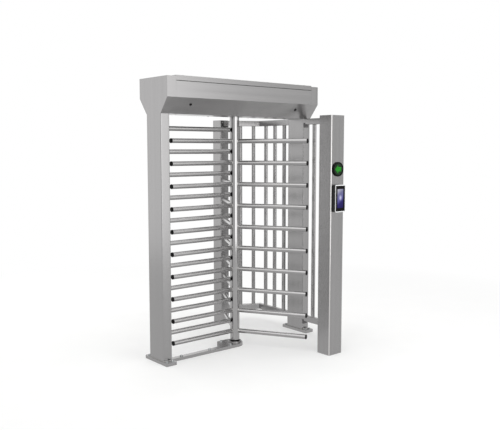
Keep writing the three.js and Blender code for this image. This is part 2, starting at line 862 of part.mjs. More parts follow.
// Slim posts at the mouths of the lane, closed on top, with a cable hole in the base.
function slimPost(width, depth, x, y) {
  const outer = standing(roundedRectangle(width, depth, slimPostWall), 0, canopyBottom, 2);
  const bore = block(
    [-width / 2 + slimPostWall, -depth / 2 + slimPostWall, slimPostBase],
    [width / 2 - slimPostWall, depth / 2 - slimPostWall, canopyBottom - slimPostWall],
  );
  const cable = rod(
    cableHoleDiameter / 2,
    -overrun,
    slimPostBase + 2 * overrun,
    -width / 4,
    0,
  );
  return cut(outer, bore, cable).translate([x + width / 2, y, 0]);
}
const readerPostX = laneHalfWidth - readerPostInset;
const exitPostX = laneHalfWidth - exitPostInset;
const cageX = laneHalfWidth + cageOffset;
const readerPostMiddleY = -readerPostY - readerPostDepth / 2;
const exitPostMiddleY = exitPostY + exitPostDepth / 2;
piece(
  "front_post",
  slimPost(readerPostWidth, readerPostDepth, readerPostX, readerPostMiddleY),
  brushed,
);
piece("rear_post", slimPost(exitPostWidth, exitPostDepth, exitPostX, exitPostMiddleY), brushed);

// Cage grilles: welded panels of two box rails and upright tubes, drawn along X from zero.
const highRailTop = canopyBottom;
const railHalf = railWidth / 2;
const barRadius = cageBarDiameter / 2;
function grille(length, places, startCut, endCut) {
  const highRailBottom = highRailTop - railHeight;
  const rail = (bottom) =>
    block([-length, -railHalf, bottom], [2 * length, railHalf, bottom + railHeight]);
  const railBore = (bottom) =>
    block(
      [-2 * length, -railHalf + railWall, bottom + railWall],
      [3 * length, railHalf - railWall, bottom + railHeight - railWall],
    );
  const middle = lowRailBottom + railHeight / 2;
  const rise = highRailBottom + railHeight / 2 - middle;
  const bars = places.map((x) => rod(barRadius, middle, rise, x, 0, tubeSides));
  const bores = places.map((x) =>
    rod(barRadius - cageBarWall, middle, rise, x, 0, tubeSides),
  );
  const body = cut(
    join(rail(lowRailBottom), rail(highRailBottom), ...bars),
    railBore(lowRailBottom),
    railBore(highRailBottom),
    ...bores,
  );
  return body.intersect(endWedge(length, startCut, endCut));
}

// Each end of a panel is cut square or to half of the corner's angle.
function endWedge(length, startCut, endCut) {
  const low = lowRailBottom - overrun;
  const high = highRailTop + overrun;
  const wide = 2 * railHalf;
  const points = [
    [wide * startCut, -wide],
    [length - wide * endCut, -wide],
    [length + wide * endCut, wide],
    [-wide * startCut, wide],
  ];
  return standing(outline(points), low, high - low);
}

// The side grille runs from the right post to the bend, the corner grille on to a slim post.
function cageHalf(side, name, postFaceX, postMiddleY, firstBar) {
  const places = (first, count) => Array.from({ length: count }, (_, i) => first + i * cageBarSpacing);
  const bend = new THREE.Vector2(cageX, cageBendY);
  const along = new THREE.Vector2(postFaceX, Math.abs(postMiddleY)).sub(bend);
  const angle = Math.atan2(-along.x, along.y);
  const mitre = Math.tan(angle / 2);
  const sideLength = cageBendY - postHalfDepth - fit / 2;
  const cornerLength = along.length() - fit / 2;
  const start = bend.clone().addScaledVector(along, 1 - cornerLength / along.length());
  const sidePanel = grille(sideLength, places(firstBar, sideBars), 0, -mitre)
    .rotate([0, 0, 90])
    .translate([cageX, postHalfDepth, 0]);
  const cornerPanel = grille(cornerLength, places(cornerFirstBar, cornerBars), -mitre, -1 / Math.tan(angle))
    .rotate([0, 0, 90 + THREE.MathUtils.radToDeg(angle)])
    .translate([start.x, start.y, 0]);
  const onSide = (body) => (side > 0 ? body : body.mirror([0, 1, 0]));
  piece(`${name}_side_grille`, onSide(sidePanel), brushed);
  piece(`${name}_corner_grille`, onSide(cornerPanel), brushed);
}
cageHalf(1, "rear", exitPostX + exitPostWidth, exitPostMiddleY, rearFirstBar);
cageHalf(-1, "front", readerPostX + readerPostWidth, readerPostMiddleY, frontFirstBar);

// Indicator light: a black bezel on the post's face, with a green lens in its recess.
const postFace = -readerPostY - readerPostDepth;
const lightX = readerPostX + readerPostWidth / 2;
const lightHeight = readerBase + readerHeight + lightAboveReader + lightDiameter / 2;
function facing(body, height) {
  return placed(
    body,
    new THREE.Matrix4().makeRotationX(Math.PI / 2).setPosition(lightX, postFace, height),
  );
}
const bezel = cut(
  lathed(
    [
      [0, 0],
      [lightDiameter / 2, 0],
      [lightDiameter / 2, lightDepth - lensCrown],
      [lightDiameter / 2 - lensCrown, lightDepth],
      [0, lightDepth],
    ],
    shaftSides,
  ),
  rod(lensDiameter / 2 + fit, lightDepth - lensRecess, lightDepth, 0, 0, shaftSides),
);
const lens = lathed(
  [
    [0, lightDepth - lensRecess],
    [lensDiameter / 2, lightDepth - lensRecess],
    [lensDiameter / 2, lightDepth - lensCrown],
    [lensDiameter / 4, lightDepth - lensCrown / 4],
    [0, lightDepth],
  ],
  shaftSides,
);
piece("light_bezel", facing(bezel, lightHeight), blackPlastic);
piece("light_lens", facing(lens, lightHeight), greenLens);

// Reader: a slim wall terminal with eased edges.
const readerGeometry = new THREE.ExtrudeGeometry(
  roundedRectangle(
    readerWidth - 2 * readerBevel,
    readerHeight - 2 * readerBevel,
    readerCornerRadius - readerBevel,
  ),
  {
    depth: readerDepth - 2 * readerBevel,
    bevelSize: readerBevel,
    bevelThickness: readerBevel,
    bevelSegments: 2,
    curveSegments: 4,
  },
);
const readerBody = solid(readerGeometry.translate(0, 0, readerBevel));
piece("reader", facing(readerBody, readerBase + readerHeight / 2), blackPlastic);

export default turnstile;
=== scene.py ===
import math

import bmesh
import bpy
from mathutils import Matrix, Vector


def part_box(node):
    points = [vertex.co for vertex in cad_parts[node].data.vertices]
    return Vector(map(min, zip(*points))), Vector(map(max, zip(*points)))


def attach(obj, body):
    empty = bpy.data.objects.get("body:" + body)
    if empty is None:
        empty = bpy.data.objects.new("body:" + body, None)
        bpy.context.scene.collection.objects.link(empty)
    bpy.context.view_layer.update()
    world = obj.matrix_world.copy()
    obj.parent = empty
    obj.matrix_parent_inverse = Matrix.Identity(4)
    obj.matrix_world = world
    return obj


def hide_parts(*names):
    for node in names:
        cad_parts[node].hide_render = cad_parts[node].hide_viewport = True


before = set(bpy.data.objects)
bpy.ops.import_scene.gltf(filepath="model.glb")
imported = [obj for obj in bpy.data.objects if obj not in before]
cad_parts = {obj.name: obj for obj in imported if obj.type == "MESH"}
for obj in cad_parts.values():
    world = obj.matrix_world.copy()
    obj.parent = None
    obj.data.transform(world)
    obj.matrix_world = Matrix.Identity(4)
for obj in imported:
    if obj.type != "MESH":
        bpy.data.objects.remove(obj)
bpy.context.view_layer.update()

# Camera, at the height of a person's eyes and to the left of the reader post.
# It looks a little down, and holds the whole gate as the photograph does.
PHOTO_WIDTH = 500
FOCAL_PIXELS = 681.65
SENSOR = 36.0
EYE = (-3.608, -4.490, 1.681)
LOOK_DOWN = 5.573
LOOK_RIGHT = 40.087
camera = bpy.data.objects.new("camera", bpy.data.cameras.new("camera"))
camera.data.sensor_width = SENSOR
camera.data.lens = FOCAL_PIXELS / PHOTO_WIDTH * SENSOR
camera.location = EYE
camera.rotation_euler = (math.radians(90 - LOOK_DOWN), 0, math.radians(-LOOK_RIGHT))
bpy.context.scene.collection.objects.link(camera)
bpy.context.scene.camera = camera
bpy.context.scene.view_settings.view_transform = "Standard"


# Studio: white surroundings, which the camera and the metal both see.
# Tall soft boxes stand in front and behind, others hang left, right and overhead, and the dim wall
# between them gives each tube its darker edges.
def linear(hex_code):
    """The linear colour of an sRGB hex code."""
    parts = [int(hex_code[i : i + 2], 16) / 255 for i in (1, 3, 5)]
    return tuple(v / 12.92 if v <= 0.04045 else ((v + 0.055) / 1.055) ** 2.4 for v in parts) + (1,)


def add(tree, kind, inputs=None, stops=(), **settings):
    """Adds a shader node with its settings, links and colour stops.

    An input is a value, or another node's output, which is linked.
    """
    node = tree.nodes.new("ShaderNode" + kind)
    for name, value in settings.items():
        setattr(node, name, value)
    for name, value in (inputs or {}).items():
        if isinstance(value, bpy.types.NodeSocket):
            tree.links.new(value, node.inputs[name])
        else:
            node.inputs[name].default_value = value
    for i, (place, code) in enumerate(stops):
        stop = node.color_ramp.elements[i] if i < 2 else node.color_ramp.elements.new(place)
        stop.position = place
        stop.color = linear(code)
    return node


# Each soft box: its bearing, half width and soft edge in degrees, and its glow beyond the wall's.
FRONT_BOX = (-86, 31, 3, 1.3)
FRONT_STRIP = (-103, 11, 3, 0.5)
REAR_BOX = (94, 44, 8, 0.42)
LEFT_BOX = (-168, 38, 10, 1.1)
RIGHT_BOX = (0, 50, 12, 0.9)
WALL_GLOW = 0.72
SPREAD_GLOW = 0.62  # what dull surfaces get from the surroundings
# Each height is the sine of its angle above the horizon.
BOX_FOOT = {"From Min": -0.34, "From Max": -0.1}
CEILING = {"From Min": 0.35, "From Max": 0.68, "To Min": 1.0, "To Max": 0.46}
OVERHEAD_BOX = {"From Min": 0.7, "From Max": 0.88, "To Min": 0.0, "To Max": 0.6}
LEFT_FOOT = {"From Min": 0.12, "From Max": 0.3}
RIGHT_FOOT = {"From Min": 0.4, "From Max": 0.55}
world = bpy.data.worlds.new("studio")
bpy.context.scene.world = world
world.use_nodes = True
sky = world.node_tree
sky.nodes.clear()
way = add(sky, "TexCoord")
split = add(sky, "SeparateXYZ", {0: way.outputs["Generated"]})
bearing = add(sky, "Math", {0: split.outputs["Y"], 1: split.outputs["X"]}, operation="ARCTAN2")


def soft_box(bearing_degrees, half_width_degrees, edge_degrees, glow):
    """The glow of a tall soft box, by its bearing in the studio, measured from +X towards +Y."""
    middle = math.radians(bearing_degrees)
    half = math.radians(half_width_degrees)
    edge = math.radians(edge_degrees)
    turn = add(sky, "Math", {0: bearing.outputs[0], 1: middle}, operation="SUBTRACT")
    wrapped = add(sky, "Math", {0: turn.outputs[0], 1: math.pi, 2: -math.pi}, operation="WRAP")
    apart = add(sky, "Math", {0: wrapped.outputs[0]}, operation="ABSOLUTE")
    reach = {"From Min": half - edge, "From Max": half + edge, "To Min": glow, "To Max": 0.0}
    fall = {"Value": apart.outputs[0], **reach}
    return add(sky, "MapRange", fall, interpolation_type="SMOOTHSTEP").outputs[0]


around = soft_box(*FRONT_BOX)
for box in (soft_box(*FRONT_STRIP), soft_box(*REAR_BOX)):
    around = add(sky, "Math", {0: around, 1: box}, operation="ADD").outputs[0]
height = split.outputs["Z"]
low = add(sky, "MapRange", {"Value": height, **BOX_FOOT}, interpolation_type="SMOOTHSTEP")
boxes = add(sky, "Math", {0: around, 1: low.outputs[0]}, operation="MULTIPLY")
walls = add(sky, "Math", {0: boxes.outputs[0], 1: WALL_GLOW}, operation="ADD")
ceiling = add(sky, "MapRange", {"Value": height, **CEILING}, interpolation_type="SMOOTHSTEP")
overhead = add(sky, "MapRange", {"Value": height, **OVERHEAD_BOX}, interpolation_type="SMOOTHSTEP")
room = add(sky, "Math", {0: walls.outputs[0], 1: ceiling.outputs[0]}, operation="MULTIPLY")
studio = add(sky, "Math", {0: room.outputs[0], 1: overhead.outputs[0]}, operation="ADD")
for box, foot in ((soft_box(*LEFT_BOX), LEFT_FOOT), (soft_box(*RIGHT_BOX), RIGHT_FOOT)):
    lift = add(sky, "MapRange", {"Value": height, **foot}, interpolation_type="SMOOTHSTEP")
    raised = add(sky, "Math", {0: box, 1: lift.outputs[0]}, operation="MULTIPLY")
    studio = add(sky, "Math", {0: studio.outputs[0], 1: raised.outputs[0]}, operation="ADD")
path = add(sky, "LightPath")
sharp_rays = {0: path.outputs["Is Glossy Ray"], 1: path.outputs["Is Transmission Ray"]}
mirrored = add(sky, "Math", sharp_rays, operation="MAXIMUM")
level = add(sky, "Mix", {"Factor": mirrored.outputs[0], 2: SPREAD_GLOW, 3: studio.outputs[0]})
seen = add(sky, "Mix", {"Factor": path.outputs["Is Camera Ray"], 2: level.outputs[0], 3: 1.0})
glowing = add(sky, "Background", {"Color": linear("#FFFFFF"), "Strength": seen.outputs[0]})
add(sky, "OutputWorld", {"Surface": glowing.outputs[0]})


def lamp(name, place, target, width, height, watts):
    """A lamp behind a soft box: it lights the floor and the plastics, and the box is what metal shows."""
    light = bpy.data.lights.new(name, "AREA")
    light.shape = "RECTANGLE"
    light.size = width
    light.size_y = height
    light.energy = watts
    made = bpy.data.objects.new(name, light)
    made.location = place
    made.rotation_euler = (Vector(target) - Vector(place)).to_track_quat("-Z", "Y").to_euler()
    made.visible_camera = False
    made.visible_glossy = False
    bpy.context.scene.collection.objects.link(made)


lamp("front_lamp", place=(0.6, -5.2, 2.6), target=(0, 0, 1.3), width=3.2, height=2.6, watts=120)
lamp("rear_lamp", place=(-1.2, 5.2, 2.8), target=(0, 0, 1.3), width=2.6, height=2.6, watts=70)
lamp("overhead_lamp", place=(0, 0, 5.0), target=(0, 0, 0), width=4.0, height=4.0, watts=150)

# Floor: a smooth pale studio floor, which fades into the white surroundings.
# Its paint is dull and faintly mottled by the roller, so that it keeps the gate's soft shadow.
FLOOR_RADIUS = 6.0
FLOOR_FADE = {"From Min": 1.2, "From Max": 4.5, "To Min": 0.35}
FLOOR_IN_METAL = (0.85, 0.74)  # how much of the white glow metal sees, and how bright it is there
ROLLER_MARK = 333.0  # width of the paint's mottling in millimetres
paving = bpy.data.materials.new("Pale studio floor paint")
paving.use_nodes = True
tree = paving.node_tree
tree.nodes.clear()
place = add(tree, "TexCoord")
reach = add(tree, "VectorMath", {0: place.outputs["Object"]}, operation="LENGTH")
fade = add(tree, "MapRange", {"Value": reach.outputs["Value"], **FLOOR_FADE})
marks = {"Vector": place.outputs["Object"], "Scale": 1000 / ROLLER_MARK, "Detail": 3.0}
mottle = add(tree, "TexNoise", marks)
shade = add(tree, "ValToRGB", {"Fac": mottle.outputs["Fac"]}, [(0.3, "#ECECEB"), (0.7, "#EFEFEE")])
paint = add(tree, "BsdfPrincipled", {"Base Color": shade.outputs["Color"], "Roughness": 0.7})
sight = add(tree, "LightPath")
seen = sight.outputs["Is Camera Ray"]
sharp_rays = {0: sight.outputs["Is Glossy Ray"], 1: sight.outputs["Is Transmission Ray"]}
mirrored = add(tree, "Math", sharp_rays, operation="MAXIMUM")
even = add(tree, "Math", {0: mirrored.outputs[0], 1: FLOOR_IN_METAL[0]}, operation="MULTIPLY")
shown = add(tree, "Math", {0: seen, 1: fade.outputs["Result"]}, operation="MULTIPLY")
share = add(tree, "Math", {0: shown.outputs[0], 1: even.outputs[0]}, operation="MAXIMUM")
white = add(tree, "Mix", {"Factor": seen, 2: FLOOR_IN_METAL[1], 3: 1.0})
glow = add(tree, "Emission", {"Color": linear("#FFFFFF"), "Strength": white.outputs[0]})
mixed = add(tree, "MixShader", {0: share.outputs[0], 1: paint.outputs[0], 2: glow.outputs[0]})
add(tree, "OutputMaterial", {"Surface": mixed.outputs[0]})
mesh = bpy.data.meshes.new("floor")
shell = bmesh.new()
bmesh.ops.create_circle(shell, cap_ends=True, segments=96, radius=FLOOR_RADIUS)
shell.to_mesh(mesh)
shell.free()
mesh.materials.append(paving)
floor = bpy.data.objects.new("floor", mesh)
bpy.context.scene.collection.objects.link(floor)

# Foot plates and floor plate: 25 mm stainless flat, sawn, edge-ground and brushed along X.
# They are bolted down with zinc-plated hexagon anchors on round washers.
BELT_MARK = 2.0  # spacing of the polishing lines that ring a tube
TUBE_CLOUD = 41.7  # width of the slow changes of tone on a tube
GRAIN_BAND = 24  # how much wider than its lines the bands of a brushed sheet are


def steel(name, codes, roughness, grain=None, wander=0.02, bump=0.04):
    """Bare metal with fine lines; grain gives each axis's line spacing in millimetres.

    The real lines are under 0.3 mm apart, too fine to show, so they are drawn 1 to 2 mm apart.
    Without a grain the lines ring a tube, as a polishing belt leaves them, by its "along" attribute.
    """
    made = bpy.data.materials.new(name)
    made.use_nodes = True
    tree = made.node_tree
    surface = tree.nodes["Principled BSDF"]
    place = add(tree, "TexCoord").outputs["Object"]
    if grain:
        bands = [1000 / (g * GRAIN_BAND) for g in grain]
        fine = add(tree, "Mapping", {"Vector": place, "Scale": [1000 / g for g in grain]})
        slow = add(tree, "Mapping", {"Vector": place, "Scale": bands})
    else:
        along = add(tree, "Attribute", attribute_name="along")
        turns = add(tree, "Math", {0: along.outputs["Fac"], 1: 1 / BELT_MARK}, operation="MULTIPLY")
        fine = add(tree, "CombineXYZ", {"X": turns.outputs[0]})
        slow = add(tree, "Mapping", {"Vector": place, "Scale": [1000 / TUBE_CLOUD] * 3})
    grit = {"Vector": fine.outputs[0], "Scale": 1.0, "Detail": 3.0, "Roughness": 0.6}
    lines = add(tree, "TexNoise", grit)
    bands = add(tree, "TexNoise", {"Vector": slow.outputs[0], "Scale": 1.0, "Detail": 2.0})
    blend = add(tree, "Mix", {"Factor": 0.5, 2: bands.outputs["Fac"], 3: lines.outputs["Fac"]})
    tone = add(tree, "ValToRGB", {"Fac": blend.outputs[0]}, [(0.3, codes[0]), (0.7, codes[1])])
    tree.links.new(tone.outputs["Color"], surface.inputs["Base Color"])
    surface.inputs["Metallic"].default_value = 1.0
    spread = {"From Min": 0.35, "From Max": 0.65, "To Min": roughness - wander, "To Max": roughness + wander}
    rough = add(tree, "MapRange", {"Value": blend.outputs[0], **spread})
    tree.links.new(rough.outputs["Result"], surface.inputs["Roughness"])
    relief = add(tree, "Bump", {"Height": lines.outputs["Fac"], "Strength": bump, "Distance": 0.0003})
    tree.links.new(relief.outputs["Normal"], surface.inputs["Normal"])
    return made


# Brushed stainless sheet and flat: soft, slightly streaked reflections that run across the grain.
SHEET = ("#A2A1A1", "#ABAAAA")
long_grain = steel("Brushed stainless, long grain", SHEET, 0.25, (60, 1.5, 1.5))
upright_grain = steel("Brushed stainless, upright grain", SHEET, 0.25, (1.5, 1.5, 80))
# Zinc plate: brighter, bluer and a little cloudy beside the stainless.
zinc_bolt = steel("Bright zinc plate on bolts", ("#A9ACAD", "#C4C6C6"), 0.22, (3, 3, 3))

FRAME_BODY = "gate_frame"
UP = (0, 0, 1)
DRAWN_AS_ONE = 0.0005  # drawn points nearer than this are one, in millimetres
CAD_AS_ONE = 0.002  # and points of a CAD node
STILL_FLAT = math.radians(0.5)  # faces that turn less than this are one face
REAL_EDGE = math.radians(33)  # and edges that turn more are rounded


def finish_mesh(name, shell, material, sharp=35):
    """Turns a mesh drawn in millimetres into an object in metres, smooth but for its real edges."""
    bmesh.ops.remove_doubles(shell, verts=shell.verts, dist=DRAWN_AS_ONE)
    bmesh.ops.recalc_face_normals(shell, faces=shell.faces)
    mesh = bpy.data.meshes.new(name)
    shell.to_mesh(mesh)
    shell.free()
    mesh.transform(Matrix.Scale(0.001, 4))
    mesh.shade_smooth()
    mesh.set_sharp_from_angle(angle=math.radians(sharp))
    mesh.materials.append(material)
    made = bpy.data.objects.new(name, mesh)
    bpy.context.scene.collection.objects.link(made)
    flat_faces = made.modifiers.new("flat faces", "WEIGHTED_NORMAL")
    flat_faces.keep_sharp = True
    return made


def fit(made, body, slot, *nodes):
    """Lets a piece ride on its body and hides the nodes that it stands for; its slot is not used."""
    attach(made, body)
    if nodes:
        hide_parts(*nodes)
    return made


def ease_edges(shell, corners, radius, steps):
    """Rounds the given edges, as deburring, folding or moulding leaves them."""
    bmesh.ops.bevel(
        shell,
        geom=corners,
        offset=radius,
        segments=steps,
        profile=0.5,
        affect="EDGES",
        clamp_overlap=True,
    )


def eased(node, material, slot, radius=1.0, body=FRAME_BODY):
    """A node's own shape with every sharp edge rounded."""
    shell = bmesh.new()
    shell.from_mesh(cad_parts[node].data)
    shell.transform(Matrix.Scale(1000, 4))
    bmesh.ops.remove_doubles(shell, verts=shell.verts, dist=CAD_AS_ONE)
    bmesh.ops.dissolve_limit(shell, angle_limit=STILL_FLAT, verts=shell.verts, edges=shell.edges)
    folds = [e for e in shell.edges if len(e.link_faces) == 2]
    corners = [e for e in folds if e.calc_face_angle(0) > REAL_EDGE]
    ease_edges(shell, corners, radius, 3)
    made = finish_mesh(node + "_finish", shell, material, 40)
    return fit(made, body, slot, node)


def skin(shell, rings, closed=False):
    """Joins rings of points with faces; open skins get flat ends, closed ones return to the start."""
    rows = [[shell.verts.new(p) for p in ring] for ring in rings]
    pairs = list(zip(rows, rows[1:] + rows[:1])) if closed else list(zip(rows, rows[1:]))
    for one, two in pairs:
        for i in range(len(one)):
            j = (i + 1) % len(one)
            shell.faces.new((one[i], one[j], two[j], two[i]))
    if not closed:
        shell.faces.new(list(reversed(rows[0])))
        shell.faces.new(rows[-1])
    return rows


def turned(shell, profile, start, way, sides=40, closed=False):
    """A turned form: profile lists (distance along the way, radius) from the start point."""
    far_along = shell.verts.layers.float.get("along") or shell.verts.layers.float.new("along")
    way = Vector(way).normalized()
    turn = way.to_track_quat("Z", "Y").to_matrix()
    angles = [2 * math.pi * (i + 0.5) / sides for i in range(sides)]
    rings = []
    for along, radius in profile:
        centre = Vector(start) + way * along
        flat = [Vector((radius * math.cos(a), radius * math.sin(a), 0)) for a in angles]
        rings.append([centre + turn @ p for p in flat])
    for (along, radius), row in zip(profile, skin(shell, rings, closed)):
        for vert in row:
            vert[far_along] = along


PLATE_TOP = 25
PLATE_EDGE = 1.6
FOOT_MIDDLE = 752  # from the rotor's axis to the middle of a main post
FOOT_ANCHORS = (25, 128.5)  # from the middle of the foot, across and along the post
SILL_ANCHORS = ((-316.8, -59), (-598.4, -59))
ROTOR_ANCHORS = ((-100, -65), (-100, 65))
ANCHOR_SIZE = 19  # across the flats of a 12 mm anchor's head
ANCHOR_CORNER = ANCHOR_SIZE / 2 / math.cos(math.pi / 6)
ANCHOR_HEAD = 7.5
WASHER_RADIUS = 13
WASHER_THICKNESS = 2.5
WASHER_HOLE = 7
WASHER = [
    (0, WASHER_RADIUS),
    (WASHER_THICKNESS - 0.5, WASHER_RADIUS),
    (WASHER_THICKNESS, WASHER_RADIUS - 0.6),
    (WASHER_THICKNESS, WASHER_HOLE),
]
HEXAGON = [
    (WASHER_THICKNESS, ANCHOR_CORNER - 0.4),
    (WASHER_THICKNESS + ANCHOR_HEAD - 1.2, ANCHOR_CORNER),
    (WASHER_THICKNESS + ANCHOR_HEAD, ANCHOR_CORNER - 1.6),
]
places = []
for middle in (-FOOT_MIDDLE, FOOT_MIDDLE):
    for x in (-FOOT_ANCHORS[0], FOOT_ANCHORS[0]):
        places += [(middle + x, -FOOT_ANCHORS[1]), (middle + x, FOOT_ANCHORS[1])]
bolts = bmesh.new()
for x, y in (*places, *SILL_ANCHORS, *ROTOR_ANCHORS):
    turned(bolts, WASHER, (x, y, PLATE_TOP), UP, 24)
    turned(bolts, HEXAGON, (x, y, PLATE_TOP), UP, 6)
fit(finish_mesh("anchor_bolts", bolts, zinc_bolt, 25), FRAME_BODY, "zinc_plated_steel")
for node in ("floor_plate", "left_foot_plate", "right_foot_plate"):
    eased(node, long_grain, "brushed_stainless", PLATE_EDGE)

# Main and slim posts: stainless box section, folded from sheet and welded along one corner.
# The folds are rounded, which draws the bright upright line at each corner; on the reader post's front-left
# fold that line is also a painted highlight.
POST_FOLD = 7.0
POST_WALL = 3.0
CORNER_STEPS = 6


def box_ring(width, depth, radius):
    """The outline of a box section with rounded folds, anticlockwise."""
    points = []
    for i, (sx, sy) in enumerate(((1, 1), (-1, 1), (-1, -1), (1, -1))):
        for k in range(CORNER_STEPS + 1):
            angle = math.pi / 2 * (i + k / CORNER_STEPS)
            x = sx * (width / 2 - radius) + radius * math.cos(angle)
            y = sy * (depth / 2 - radius) + radius * math.sin(angle)
            points.append((x, y))
    return points


def post(name, node, top_closed):
    """A post of box section in its node's place, open at the top or closed by a welded cap."""
    low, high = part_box(node)
    low, high = low * 1000, high * 1000
    middle = (low + high) / 2
    width, depth = high.x - low.x, high.y - low.y

    def ring(shape, z):
        return [(middle.x + x, middle.y + y, z) for x, y in shape]

    outer = box_ring(width, depth, POST_FOLD)
    inner = box_ring(width - 2 * POST_WALL, depth - 2 * POST_WALL, POST_FOLD - POST_WALL)
    crown = box_ring(width - 2, depth - 2, POST_FOLD - 1)
    shell = bmesh.new()
    if top_closed:
        skin(shell, [ring(outer, low.z), ring(outer, high.z - 1), ring(crown, high.z)])
    else:
        outside = [ring(outer, low.z), ring(outer, high.z)]
        inside = [ring(inner, high.z), ring(inner, low.z)]
        skin(shell, outside + inside, closed=True)
    return fit(finish_mesh(name, shell, upright_grain), FRAME_BODY, "brushed_stainless", node)


post("left_post_section", "left_post", False)
post("right_post_section", "right_post", False)
reader_post = post("front_post_section", "front_post", True)
# Painted highlight: the reader post's front-left fold gets a paler, slightly smoother steel than the sheet,
# which paints a bright upright line on that corner.
painted_fold_highlight = steel("Reader post fold with painted highlight", ("#D3D1D0", "#DEDCDB"), 0.2, (1.5, 1.5, 80), 0.03, 0.03)
reader_post.data.materials.append(painted_fold_highlight)
# Only the fold faces turned to the front and left take the paler colour, where the highlight falls.
for face in reader_post.data.polygons:
    if face.normal.x < -0.05 and face.normal.y < -0.05:
        face.material_index = 1
post("rear_post_section", "rear_post", True)

# Foot welds: a fillet of weld all round each main post, where it stands on its foot plate.
# It is laid by hand in stainless wire, and brushed clean.
MAIN_POST = (80, 200)
WELD_LEG = 4.0
WELD_FACE = (
    (-0.5, 0.1),
    (WELD_LEG, 0.1),
    (WELD_LEG * 0.62, WELD_LEG * 0.36),
    (WELD_LEG * 0.3, WELD_LEG * 0.72),
    (-0.5, WELD_LEG),
)
# Brushed weld: a browner, duller grey than the sheet, with an uneven shine.
weld_metal = steel("Brushed weld in stainless", ("#8F8D8B", "#AAA8A6"), 0.34, (1.5, 1.5, 1.5), 0.06, 0.4)
welds = bmesh.new()
for side in (-1, 1):
    rings = []
    for out, up in WELD_FACE:
        shape = box_ring(MAIN_POST[0] + 2 * out, MAIN_POST[1] + 2 * out, POST_FOLD + out)
        rings.append([(side * FOOT_MIDDLE + x, y, PLATE_TOP + up) for x, y in shape])
    skin(welds, rings, closed=True)
fit(finish_mesh("foot_welds", welds, weld_metal, 60), FRAME_BODY, "brushed_stainless")

# Comb bars: 38 mm stainless tube, polished round, let into the left post and welded there.
# Each free end is closed by a black moulded nylon cap.
TUBE_RADIUS = 19.0
TUBE_WALL = 2.0
CAP_REACH = 9.0
CAP_LAP = 2  # how far the cap's collar laps over the tube
BEAD = 2.6
COMB_START = -712.0
COMB_TIP = -52.0
LOWEST_ARM = 122
ARM_PITCH = 180
ARM_TIERS = 10
LANE_HEIGHTS = [LOWEST_ARM + ARM_PITCH * i for i in range(ARM_TIERS)]
COMB_RISE = 94  # from an arm to the comb bar above it
# Belt-polished tube: one clear, narrow highlight along it, softened by rings too fine to count.
tube_polish = steel("Satin-polished stainless tube", ("#A5A4A4", "#ADACAC"), 0.17, None, 0.012, 0.02)


def moulded(name, stops, grit, roughness, ior, specular=0.5, relief=0.0):
    """A moulded plastic with a fine grain, whose drawn width is grit millimetres.

    The mould's real grain is about 0.1 mm, too fine to show, so it is drawn about 1 mm wide.
    """
    made = bpy.data.materials.new(name)
    made.use_nodes = True
    tree = made.node_tree
    surface = tree.nodes["Principled BSDF"]
    place = add(tree, "TexCoord").outputs["Object"]
    grain = add(tree, "TexNoise", {"Vector": place, "Scale": 1000 / grit, "Detail": 2.0})
    tone = add(tree, "ValToRGB", {"Fac": grain.outputs["Fac"]}, stops)
    tree.links.new(tone.outputs["Color"], surface.inputs["Base Color"])
    if relief:
        bump = {"Height": grain.outputs["Fac"], "Strength": relief, "Distance": 0.0002}
        tree.links.new(add(tree, "Bump", bump).outputs["Normal"], surface.inputs["Normal"])
    surface.inputs["Roughness"].default_value = roughness
    surface.inputs["IOR"].default_value = ior
    surface.inputs["Specular IOR Level"].default_value = specular
    return made


# Moulded nylon: near black with a faint grain, and a soft highlight.
NYLON = [(0.35, "#070707"), (0.7, "#0E0E0E")]
nylon = moulded("Black moulded nylon", NYLON, 1.1, 0.42, 1.53, specular=0.08, relief=0.25)


def tube(shell, start, way, length, radius=TUBE_RADIUS, wall=TUBE_WALL, sides=40):
    """An open tube from a start point along a way."""
    profile = [(0, radius), (length, radius), (length, radius - wall), (0, radius - wall)]
    turned(shell, profile, start, way, sides, closed=True)


def cap(shell, tip, way):
    """A pushed-in end cap: a collar over the tube's end, and a slightly domed face."""
    profile = [
        (-CAP_REACH, TUBE_RADIUS - 1.5),
        (-CAP_REACH, TUBE_RADIUS + 0.35),
        (-2.5, TUBE_RADIUS + 0.35),
        (-1.0, TUBE_RADIUS - 0.4),
        (-0.2, TUBE_RADIUS - 2.2),
        (0, TUBE_RADIUS * 0.55),
        (0, TUBE_RADIUS * 0.12),
    ]
    turned(shell, profile, tip, way, 40)


def bead(shell, place, way, radius=TUBE_RADIUS):
    """A ring of weld round a tube, where it meets a face."""
    crown = (BEAD * 0.55, radius + BEAD * 0.55)
    profile = [(0.1, radius - 0.4), (BEAD, radius), crown, (0.1, radius + BEAD)]
    turned(shell, profile, place, way, 36, closed=True)


caps = bmesh.new()
welds = bmesh.new()
for i, height in enumerate(LANE_HEIGHTS):
    number = f"{i + 1:02d}"
    z = height + COMB_RISE
    shell = bmesh.new()
    tube(shell, (COMB_START, 0, z), (1, 0, 0), COMB_TIP - CAP_REACH + CAP_LAP - COMB_START)
    made = finish_mesh("comb_tube_" + number, shell, tube_polish)
    fit(made, FRAME_BODY, "brushed_stainless", "comb_bar_" + number)
    cap(caps, (COMB_TIP, 0, z), (1, 0, 0))
    bead(welds, (COMB_START, 0, z), (1, 0, 0))
fit(finish_mesh("comb_end_caps", caps, nylon), FRAME_BODY, "black_plastic")
fit(finish_mesh("comb_welds", welds, weld_metal), FRAME_BODY, "brushed_stainless")

# Rotor: an 80 mm polished shaft with three wings of ten arms, which are welded into it.
# The same black nylon caps close the arms.
ARM_REACH = 640.0
ARM_ANGLES = (180, 300, 60)
ARM_ROOT = 35  # from the axis, just inside the shaft's bore
SHAFT_RADIUS = 40.0
SHAFT_WALL = 4
# How far each line of the weld's section stands from the arm, and from the shaft.
SADDLE_WELD = ((-0.6, 0.4), (BEAD, 0.2), (BEAD * 0.5, BEAD * 0.7), (-0.2, BEAD + 0.4))
SADDLE_SIDES = 36
